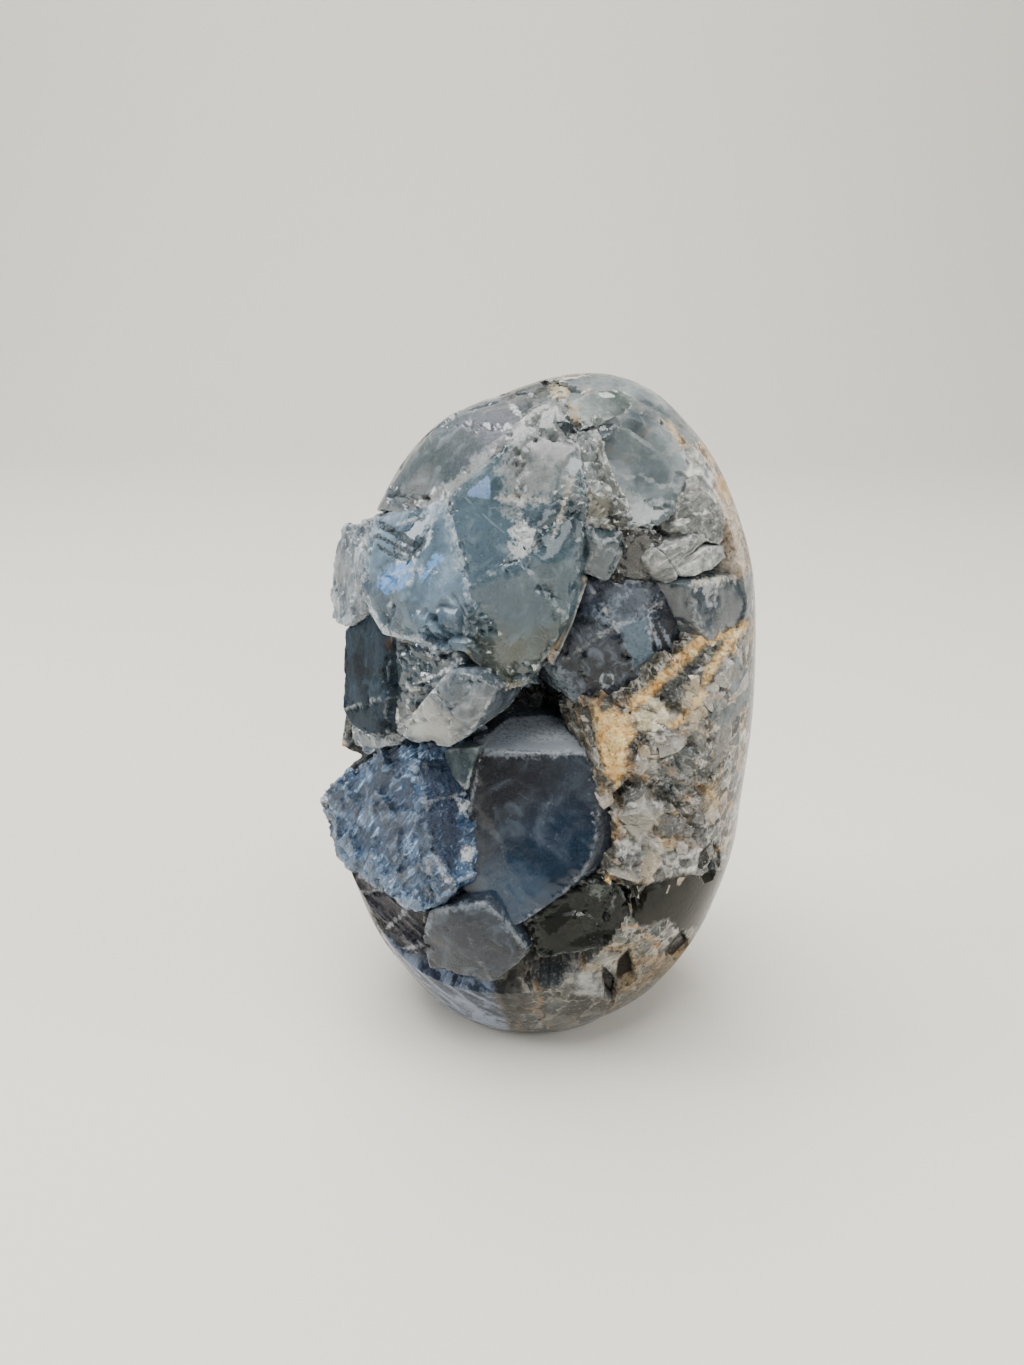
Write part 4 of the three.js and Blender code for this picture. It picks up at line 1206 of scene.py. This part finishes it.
# The great tabular crystal: glossy, brown-grey at the top and deep blue low down, with fine pale
# wisps, a lavender-grey bevel along its top and a dark facet at the right. The bevel is painted
# lighter than its own grey as light, where the lobes shade it, and darker along its front as shade;
# the dark of the right facet is painted shade.
TABLET = [
    seen(481, 750, 46), seen(588, 753, 47), seen(603, 790, 47), seen(621, 802, 44), seen(626, 825, 42),
    seen(617, 857, 42), seen(598, 823, 47), seen(595, 849, 47), seen(581, 876, 46.5), seen(560, 897, 45.8),
    seen(515, 928, 43.5), seen(455, 885, 41), seen(465, 830, 43), seen(466, 790, 43), seen(474, 755, 43),
    seen(473, 737, 40), seen(496, 727, 38), seen(510, 714, 36), seen(555, 711, 36), seen(575, 718, 38),
]
fit(grown(TABLET, 20, 0.85), "tablet", celestite(
    "tabular_crystal", shade(44, 48, 54), shade(64, 71, 80), shade(112, 122, 134), clear=0.25, veil=0.45,
    lumps=14,
    marks=[
        ("bevel", shade(190, 198, 207), 0.95, 0.25), ("edge_dark", shade(30, 34, 42), 0.85, 0.3),
        ("bevel_dark", shade(74, 82, 90), 0.85, 0.4), ("bevel_front", shade(140, 148, 156), 0.85, 0.6),
    ],
    spots=[
        (seen(556, 870, 46), 15, shade(24, 42, 60), 0.85), (seen(500, 900, 44), 9, shade(50, 72, 94), 0.8),
        (seen(500, 775, 46), 11, shade(44, 42, 44), 0.7),
    ],
    gloss=0.1, density=200, drawn=(0.6, -0.3, 0.7), shine=0.25, wear=0.35,
), steps=0.1, swell=0.3, nicks=0.3, marks={
    # Painted light and shade: the bevel is painted lighter as light, its front strip darker as shade, and the
    # right facet dark as shade.
    "bevel": [
        [(476, 744), (496, 728), (510, 717), (545, 715), (578, 720), (592, 740), (590, 752), (482, 750)],
    ],
    "bevel_front": [[(470, 736), (500, 741), (560, 742), (596, 738), (596, 756), (472, 756)]],
    "bevel_dark": [[(500, 716), (520, 704), (556, 704), (582, 714), (584, 722), (545, 714), (508, 719)]],
    "edge_dark": [[(600, 800), (622, 802), (626, 822), (617, 857), (583, 876), (596, 848)]],
})

# The dark crystal in the right of the hollow, smoky with a bluish facet, and the slender clear one
# along its left edge.
DARK_CRYSTAL = [
    seen(551, 669, 50), seen(566, 623, 54), seen(584, 577, 57), seen(664, 582, 57), seen(681, 583, 56),
    seen(702, 626, 52.5), seen(699, 633, 52), seen(669, 666, 51), seen(640, 697, 49), seen(628, 711, 47.5),
    seen(613, 709, 48), seen(591, 704, 48), seen(575, 704, 46.5), seen(614, 626, 57.5), seen(648, 618, 58),
    seen(657, 666, 53.5), seen(636, 673, 53.5),
]
fit(grown(DARK_CRYSTAL, 18, 0.85), "dark_crystal", celestite(
    "smoky_crystal", shade(27, 31, 39), shade(60, 68, 81), shade(140, 152, 163), clear=0.2, veil=0.6, lumps=5,
    shine=0.15, split=(0.85, -0.3, 0.4), cleavage=0.15, wear=0.4,
    marks=[
        ("upper", shade(86, 91, 98), 0.75, 0.6), ("pale_edge", shade(120, 131, 140), 0.8, 0.9),
        ("black", shade(14, 15, 18), 0.9, 0.3), ("blue_facet", shade(96, 114, 128), 0.85, 0.25),
        ("stripe", shade(150, 162, 176), 0.75, 0.25), ("ring", shade(176, 184, 190), 0.8, 0.25),
    ],
    gloss=0.09, density=200,
), steps=0.4, marks={
    # Painted light and shade: the top is painted lighter as light from above, and the right face near black
    # as shade.
    "upper": [[(604, 582), (660, 584), (652, 612), (630, 618), (612, 624), (600, 604)]],
    "pale_edge": [
        stroke(14, (554, 668), (566, 690), (580, 704), (612, 708), (634, 696), (664, 664)),
        stroke(5, (596, 612), (606, 622), (616, 606), (624, 592)),
    ],
    "black": [[(666, 587), (680, 584), (702, 624), (690, 644), (664, 668), (655, 664), (649, 622)]],
    "blue_facet": [[(616, 627), (630, 619), (648, 619), (655, 664), (638, 676), (630, 656)]],
    "stripe": [
        stroke(3, (650, 618), (660, 648)), stroke(2, (657, 618), (672, 648)),
        stroke(2, (646, 622), (653, 662)),
    ],
    "ring": [stroke(2, (600, 681), (604, 674), (612, 676), (613, 684), (606, 688), (600, 683))],
})

SLENDER_CRYSTAL = [
    seen(579, 570, 58), seen(589, 578, 58), seen(574, 623, 56), seen(560, 652, 54), seen(551, 670, 51.5),
    seen(546, 655, 53), seen(566, 610, 56),
]
fit(grown(SLENDER_CRYSTAL, 10), "slender_crystal", celestite(
    "slender_clear_crystal", shade(92, 96, 90), shade(130, 136, 134), shade(176, 180, 176), clear=0.4,
    marks=[("clay", shade(186, 142, 88), 0.85, 0.4)],
), bevel=0.3, marks={"clay": [stroke(5, (584, 576), (572, 600), (562, 630), (550, 658))]})

# Crystals that hang from the polished brow over the dark one: a smooth grey-blue tooth and a brown
# clear one behind it, both rooted under the brow.
TOOTH = [
    skin(579, 519, 3), skin(629, 530, 3.5), skin(622, 556, 4.2), skin(613, 576, 5.5), skin(606, 582, 6),
    skin(583, 572, 5.5), skin(600, 545, 2.5),
]
fit(grown(TOOTH, 12), "tooth", celestite(
    "grey_blue_tooth", shade(54, 68, 74), shade(84, 97, 103), shade(138, 149, 153), clear=0.3, veil=0.35,
    wear=0.35,
), bevel=0.8, swell=0.8, nicks=0.4)

BROW_CRYSTAL = [
    skin(618, 526, 3), skin(662, 530, 3), skin(668, 560, 5), skin(652, 588, 7.5), skin(615, 590, 8),
    skin(612, 556, 5.5),
]
fit(grown(BROW_CRYSTAL, 10), "brow_crystal", celestite(
    "brown_clear_crystal", shade(50, 50, 48), shade(86, 86, 82), shade(160, 162, 158), clear=0.45,
    density=160,
), broken=0.5)

# Three white pieces of split celestite under the brow: a lump and two bars, full of fine cleavage
# whose glitter is painted in as pale splinters.
CLEAVAGE_PIECES = {
    "cleavage_lump": [
        skin(647, 560, 3.8), skin(655, 547, 3), skin(667, 556, 2.6), skin(679, 578, 2.8), skin(668, 585, 4.4),
        skin(654, 577, 4.6),
    ],
    "cleavage_upper_bar": [
        skin(662, 550, 3), skin(694, 532, 1.1), skin(706, 541, 0.9), skin(674, 567, 2.6), skin(690, 540, 0.6),
    ],
    "cleavage_lower_bar": [
        skin(672, 565, 3.4), skin(706, 547, 1), skin(724, 545, 0.3), skin(726, 557, 0.4), skin(694, 577, 2),
        skin(680, 576, 3.2), skin(712, 570, 1),
    ],
}
white_cleavage = celestite(
    "white_cleavage", shade(92, 98, 97), shade(172, 175, 170), shade(240, 240, 234), clear=0.4, veil=0.6,
    lumps=5, glints=1.0, drawn=(0.85, 0.1, 0.5), flake_size=1.2,
)
for name, corners in CLEAVAGE_PIECES.items():
    fit(
        grown(corners, 9, 0.95), name, white_cleavage, bevel=0.2, nicks=0.12, broken=0.12,
        along=Vector((0.86, 0.1, 0.5)),
    )

# The broken crystals at the lower left and under the tabular one: a dark purple-grey break with
# painted glints along its rim, a small cloudy grey one, and two olive ones, smoky and almost black.
PURPLE_BREAK = [
    skin(340, 858, 2), skin(393, 890, 4), skin(420, 898, 3.6), skin(434, 925, 2.6), skin(434, 950, 0.2),
    skin(393, 956, 0), skin(374, 934, 0.3), skin(349, 894, 0.6),
]
fit(grown(PURPLE_BREAK, 14, 0.95), "purple_break", celestite(
    "purple_grey_crystal", shade(14, 14, 20), shade(32, 32, 42), shade(104, 108, 122), clear=0.1, veil=0.35,
    marks=[("frost", shade(176, 180, 184), 0.6, 0.3)], glints=0.6, shine=0.08, drawn=(0.8, -0.3, -0.5),
), broken=0.4, break_size=4, along=Vector((0.8, -0.3, -0.5)), marks={"frost": [
    # The white strokes are painted glints along the rim.
    stroke(3, (384, 930), (398, 920), (406, 908)), stroke(3, (382, 946), (396, 950), (420, 946)),
    stroke(4, (368, 930), (384, 938)), stroke(3, (344, 884), (352, 896)),
]})

GREY_CRYSTAL = [
    skin(429, 911, 0.8), skin(441, 907, 0.6), skin(482, 903, 1), skin(499, 917, 0.8), skin(528, 950, 0.2),
    skin(523, 960, 0.1), skin(492, 983, 0), skin(429, 968, 0), skin(422, 935, 0.4), skin(466, 935, -0.4),
]
fit(grown(GREY_CRYSTAL, 14, 0.95), "grey_crystal", celestite(
    "cloudy_grey_crystal", shade(34, 39, 47), shade(50, 58, 68), shade(100, 109, 118), clear=0.2, veil=0.8,
    shine=0.15, wear=0.2,
    marks=[("dark", shade(48, 50, 56), 0.7, 0.8), ("edge_pale", shade(122, 130, 138), 0.5, 0.4)],
), swell=0.6, nicks=0.25, bevel=0.7, marks={
    "dark": [[(452, 932), (470, 922), (486, 934), (484, 956), (464, 968), (450, 952)]],
    "edge_pale": [stroke(5, (424, 935), (432, 912), (482, 904), (500, 918), (528, 950))],
})

OLIVE_CRYSTALS = [
    skin(524, 925, 2.4), skin(581, 880, 3.4), skin(618, 884, 2.4), skin(645, 932, 0.3), skin(600, 948, 0),
    skin(540, 960, 0),
]
fit(grown(OLIVE_CRYSTALS, 14, 0.95), "olive_crystals", celestite(
    "olive_crystal", shade(8, 11, 9), shade(20, 25, 20), shade(76, 82, 74), clear=0.3, veil=0.3, density=200,
    shine=0.05, wear=0.2, gloss=0.05,
    marks=[("black", shade(22, 24, 22), 0.9, 0.3), ("pale", shade(120, 126, 120), 0.6, 0.9)],
), broken=0.16, break_size=7, marks={
    "black": [
        [(565, 946), (600, 930), (643, 935), (620, 945)], [(540, 924), (566, 904), (576, 912), (552, 936)],
    ],
    "pale": [[(590, 884), (612, 888), (604, 900), (586, 898)]],
})


# The banks right of the hollow: packed grains of celestite, broken and not ground, that fall away
# from the polished rim to the dark crystal and the tablet, with clay between them. The lump nearest
# to the dark crystal is caked with orange clay.
BANKS = {
    "clayed_lump": [
        skin(592, 704, 9), skin(626, 712, 5.5), skin(642, 728, 4), skin(624, 746, 4.4), skin(630, 776, 4.6),
        skin(615, 792, 5.4), skin(604, 808, 6.6), skin(599, 765, 7.4), skin(590, 735, 9.6),
    ],
    "upper_bank": [
        skin(700, 636, 1.8), skin(742, 630, 0.2), skin(746, 660, 0.2), skin(726, 700, 0.3),
        skin(690, 722, 1.2), skin(650, 744, 3), skin(634, 724, 4.6), skin(630, 709, 6), skin(664, 672, 4.2),
    ],
    "middle_bank": [
        skin(634, 724, 4.8), skin(652, 742, 3.2), skin(690, 722, 1.4), skin(718, 700, 0.4),
        skin(718, 790, 0.3), skin(690, 822, 0.8), skin(640, 812, 4), skin(628, 790, 5.4), skin(628, 750, 5),
    ],
    "lower_bank": [
        skin(630, 806, 5.6), skin(652, 800, 3.6), skin(700, 800, 0.6), skin(716, 858, 0.2),
        skin(690, 874, 0.4), skin(634, 888, 2), skin(606, 886, 3.4), skin(622, 858, 5.6),
    ],
}
BANK_EDGE = 0.5
LUMP_BREAK, BANK_BREAK, BREAK_SIZE = 0.5, 0.9, 4.5
bank_trees = []
for name, corners in BANKS.items():
    bm = grown(corners, 10, 0.95)
    finder = edge_finder(bm)
    refined(bm, BANK_EDGE)
    rough = LUMP_BREAK if name == "clayed_lump" else BANK_BREAK
    weathered(bm, finder, broken=rough, break_size=BREAK_SIZE, nicks=0)
    broken = bm.verts.layers.float.new("broken")
    for v in bm.verts:
        v[broken] = 1
    mark(bm, ROCK_MARKS)
    bank_trees.append(BVHTree.FromBMesh(bm))
    bank = set_down(bm, name, rock_finish, crisp=HARD_EDGE)
    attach(bank, "root")
    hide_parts("celestite_cluster")

# Single grains that stand out of the banks: small, sharp, clear to milky bits of celestite, some
# of them stained by clay. Each is the hull of a few corners.
GRAIN_FIELD = [
    (640, 716), (664, 690), (704, 640), (742, 634), (736, 700), (722, 790), (712, 850), (690, 874),
    (634, 886), (608, 880), (628, 852), (632, 790), (630, 750),
]
GRAIN_SPACING = 13
GRAIN_COLUMNS, GRAIN_ROWS = range(600, 746, GRAIN_SPACING), range(634, 890, GRAIN_SPACING)
GRAIN_SHIFT = 4
GRAIN_SHARE = 0.8
GRAIN_SIZES = (2, 4.2)
GRAIN_CORNERS = 14
FIELD_EDGE, PATCH_EDGE, CLAY_EDGE = 0.2, -0.5, -0.6
STAINED_SIZE = 0.6
CLAY_BAND, *CLAY_LINES = ROCK_MARKS["clay"][:3]
CLEAR_PATCH = ROCK_MARKS["patch"][2]
random.seed(11)
bm = bmesh.new()
tone_layer = bm.verts.layers.float.new("tone")
stain_layer = bm.verts.layers.float.new("stain")


def add_grain(centre, size, stain):
    """One grain, a little longer one way than the other two."""
    tone_value = random.random()
    long_way = Vector((random.uniform(-1, 1), random.uniform(-1, 1), random.uniform(-1, 1))).normalized()
    corners = []
    for _ in range(GRAIN_CORNERS):
        way = Vector((random.gauss(0, 1), random.gauss(0, 1), random.gauss(0, 1))).normalized()
        corner = centre + (way * random.uniform(0.85, 1) + long_way * way.dot(long_way) * 0.25) * size
        vert = bm.verts.new(corner)
        vert[tone_layer], vert[stain_layer] = tone_value, stain
        corners.append(vert)
    close_round(bm, corners)


for x in GRAIN_COLUMNS:
    for y in GRAIN_ROWS:
        spot = x + random.uniform(-GRAIN_SHIFT, GRAIN_SHIFT), y + random.uniform(-GRAIN_SHIFT, GRAIN_SHIFT)
        if inside_by(spot, GRAIN_FIELD) < FIELD_EDGE or inside_by(spot, CLEAR_PATCH) > PATCH_EDGE:
            continue
        way = (seen(*spot, 0) - EYE).normalized()
        hits = [hit for hit in (tree.ray_cast(EYE, way)[0] for tree in bank_trees) if hit]
        if hits and random.random() < GRAIN_SHARE:
            at = min(hits, key=lambda hit: (hit - EYE).length)
            size = random.uniform(*GRAIN_SIZES)
            clay_near = max(inside_by(spot, CLAY_BAND), *(on_line(spot, **line) for line in CLAY_LINES))
            middle = at + way * size * random.uniform(0.55, 0.95)
            if clay_near > CLAY_EDGE:
                add_grain(middle, size * STAINED_SIZE, 1.0)
            else:
                add_grain(middle, size, 0.0)
for v in bm.verts:
    ground_off(v.co)
bmesh.ops.recalc_face_normals(bm, faces=bm.faces)

grain_finish = Finish("loose_grain")
place = grain_finish.place()
own = grain_finish.field("tone")
speckle = grain_finish.cloud(place, 0.8, 4, 0.6, 0.7)
colour = grain_finish.mixed(own.ramp(0, 0.8), shade(80, 82, 81), shade(170, 166, 155))
colour = grain_finish.mixed(own.ramp(0.85, 0.95, 0, 0.6), colour, shade(176, 152, 112))
colour = grain_finish.mixed(speckle.ramp(0.54, 0.64, 0, 0.7), colour, shade(216, 214, 206))
colour = grain_finish.mixed(speckle.ramp(0.46, 0.36, 0, 0.6), colour, shade(52, 54, 54))
stained = grain_finish.field("stain") * speckle.ramp(0.3, 0.55, 0.3, 1)
colour = grain_finish.mixed(stained, colour, grain_finish.mixed(
    speckle.ramp(0.44, 0.56), shade(204, 156, 92), shade(230, 206, 164),
))
bumps = grain_finish.relief(speckle, 0.12)
part_clear(grain_finish, (own.ramp(0.1, 0.8, 0.4, 0.7) + stained).lower(1), {
    "Base Color": (0.92, 0.95, 0.96), "Roughness": 0.03, "Normal": bumps,
}, {
    "Base Color": colour, "Roughness": stained * 0.5 + 0.08, "Normal": bumps, "Specular IOR Level": 0.4,
    "Subsurface Weight": 0.3, "Subsurface Scale": 0.0015,
}, (0.6, 0.7, 0.74), 90)
grains_piece = set_down(bm, "broken_grains", grain_finish, smooth=False)
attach(grains_piece, "root")
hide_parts("celestite_cluster")

# A small grey-brown crystal, dusty and broken, that closes the seam between the middle lobe and the
# polished brow.
SEAM_CRYSTAL = [
    skin(566, 414, 1.6), skin(576, 432, 1.6), skin(592, 426, 0.6), skin(600, 480, 1.2), skin(616, 494, 1),
    skin(634, 514, 0.8), skin(628, 532, 3), skin(580, 524, 3.2), skin(572, 486, 2.6),
]
fit(grown(SEAM_CRYSTAL, 12, 0.9), "seam_crystal", celestite(
    "grey_brown_crystal", shade(64, 66, 62), shade(98, 102, 98), shade(160, 160, 150), clear=0.25, veil=0.6,
    marks=[("dust", shade(118, 114, 100), 0.7, 0.8), ("pale", shade(124, 131, 130), 0.8, 0.8)],
), broken=0.5, break_size=4, marks={
    "dust": [[(575, 488), (600, 486), (612, 500), (606, 524), (582, 524)]],
    "pale": [[(574, 430), (594, 424), (602, 478), (620, 496), (600, 494), (582, 484), (574, 470)]],
})

# The polished brow: a grey-blue crystal, ground smooth, with round scoops where flakes came off, the
# pale plates at its right and the cloudy patch in the rim under them.
SCOOPED_BROW = [
    skin(628, 409, 0.8), skin(666, 431, 0.3), skin(688, 462, 0.4), skin(696, 484, 0.9), skin(680, 500, 1.5),
    skin(661, 526, 2.2), skin(640, 528, 2.6), skin(612, 514, 2.4), skin(590, 481, 2.2), skin(583, 452, 1.6),
    skin(586, 430, 1),
]
BROW_SCOOPS = [*SCOOPS[:2], (602, 444, 6, 1.5), (598, 470, 5, 1.6)]
SCOOP_LINING = 0.3
fit(grown(SCOOPED_BROW, 10, 0.9), "scooped_brow", celestite(
    "grey_blue_brow", shade(84, 94, 98), shade(122, 132, 134), shade(168, 174, 172), clear=0.25, veil=0.5,
    lumps=11, shine=0.2, gloss=0.2, wear=0.35,
    marks=[
        ("rim", shade(154, 160, 158), 0.55, 0.25), ("pale", shade(128, 132, 129), 0.6, 0.8),
        ("shadow", shade(84, 86, 82), 0.7, 0.6),
    ],
), steps=1.4, swell=0.5, crumbled=[(skin(626, 500, 2), 5.5, 0.9), (skin(652, 512, 2), 4.5, 0.9)], bowls=[
    (skin(x, y, bite - radius), radius - SCOOP_LINING) for x, y, radius, bite in BROW_SCOOPS
], marks={
    "rim": [
        stroke(3, (628, 406), (640, 414), (664, 430), (684, 456), (694, 482)),
        stroke(3, (606, 462), (626, 478), (640, 474), (660, 486), (690, 484)),
        stroke(3, (612, 496), (634, 506), (656, 500), (680, 504)),
    ],
    "pale": [stroke(12, (586, 440), (596, 470), (620, 492), (650, 512)), stroke(6, (622, 412), (616, 432))],
    "shadow": [stroke(8, (594, 446), (612, 450), (632, 462)), stroke(7, (588, 432), (606, 436))],
})

BROW_PLATES = [
    skin(676, 528, 2), skin(680, 500, 1.4), skin(690, 478, 0.6), skin(706, 480, 0.2), skin(724, 508, 0.1),
    skin(726, 548, 0.1), skin(704, 540, 1.2),
]
fit(grown(BROW_PLATES, 8, 0.9), "brow_plates", celestite(
    "pale_plates", shade(90, 95, 93), shade(156, 158, 152), shade(230, 229, 221), clear=0.4, veil=0.5,
    lumps=5, glints=1.0, flake_size=2, drawn=(0.8, 0, 0.5),
), broken=0.8, break_size=3.2, along=Vector((0.85, 0, 0.5)))

BROW_PATCH = [
    skin(684, 584, 1.4), skin(718, 578, 0.4), skin(753, 572, 0), skin(753, 618, 0), skin(712, 642, 0.3),
    skin(698, 628, 1.4),
]
fit(grown(BROW_PATCH, 12, 0.9), "brow_patch", celestite(
    "grey_blue_patch", shade(56, 66, 72), shade(84, 93, 98), shade(150, 155, 154), clear=0.3, veil=0.35,
    lumps=12, wear=0.3,
    marks=[("pale", shade(176, 170, 156), 0.8, 0.8)],
), swell=0.5, nicks=0.3, marks={"pale": [stroke(6, (700, 582), (724, 578), (750, 574))]})

# Two pieces at the top of the stone, ground with the egg: a cream lens, clouded and tan at its left
# end, and dark chips of crystal beside it with sand-coloured dust in their seams.
LENS = [
    skin(567, 404, -0.2), skin(593, 392, -0.2), skin(623, 389, -0.2), skin(637, 400, -0.2),
    skin(626, 412, -0.2), skin(603, 422, -0.2), skin(583, 430, 0), skin(569, 421, 0),
]
fit(grown(LENS, 8, 0.9), "cream_lens", celestite(
    "cream_crystal", shade(72, 80, 78), shade(112, 122, 120), shade(160, 168, 162), clear=0.2, veil=0.6,
    lumps=8, gloss=0.2, shine=0.15, wear=0.3,
    marks=[("tan", shade(132, 108, 68), 0.7, 0.8)],
), swell=0.4, marks={"tan": [[(567, 402), (577, 404), (582, 426), (570, 424)]]})

CROWN_CHIPS = [
    skin(497, 399, 0), skin(520, 384, 0), skin(548, 379, 0), skin(566, 390, 0.2), skin(574, 418, 0.6),
    skin(556, 430, 1), skin(526, 416, 0.4),
]
fit(grown(CROWN_CHIPS, 10, 0.9), "crown_chips", celestite(
    "dark_polished_chips", shade(46, 50, 49), shade(82, 87, 86), shade(126, 125, 119), clear=0.15, veil=0.4,
    lumps=5, gloss=0.2, shine=0.2, wear=0.3,
    marks=[("tan", shade(164, 152, 122), 0.85, 0.6), ("sand", shade(112, 112, 106), 0.75, 1.0)],
), broken=0.25, break_size=4, marks={
    "tan": [[(550, 382), (574, 376), (582, 398), (566, 402), (552, 396)]],
    "sand": [[(520, 404), (560, 402), (584, 424), (566, 436), (534, 424)]],
})
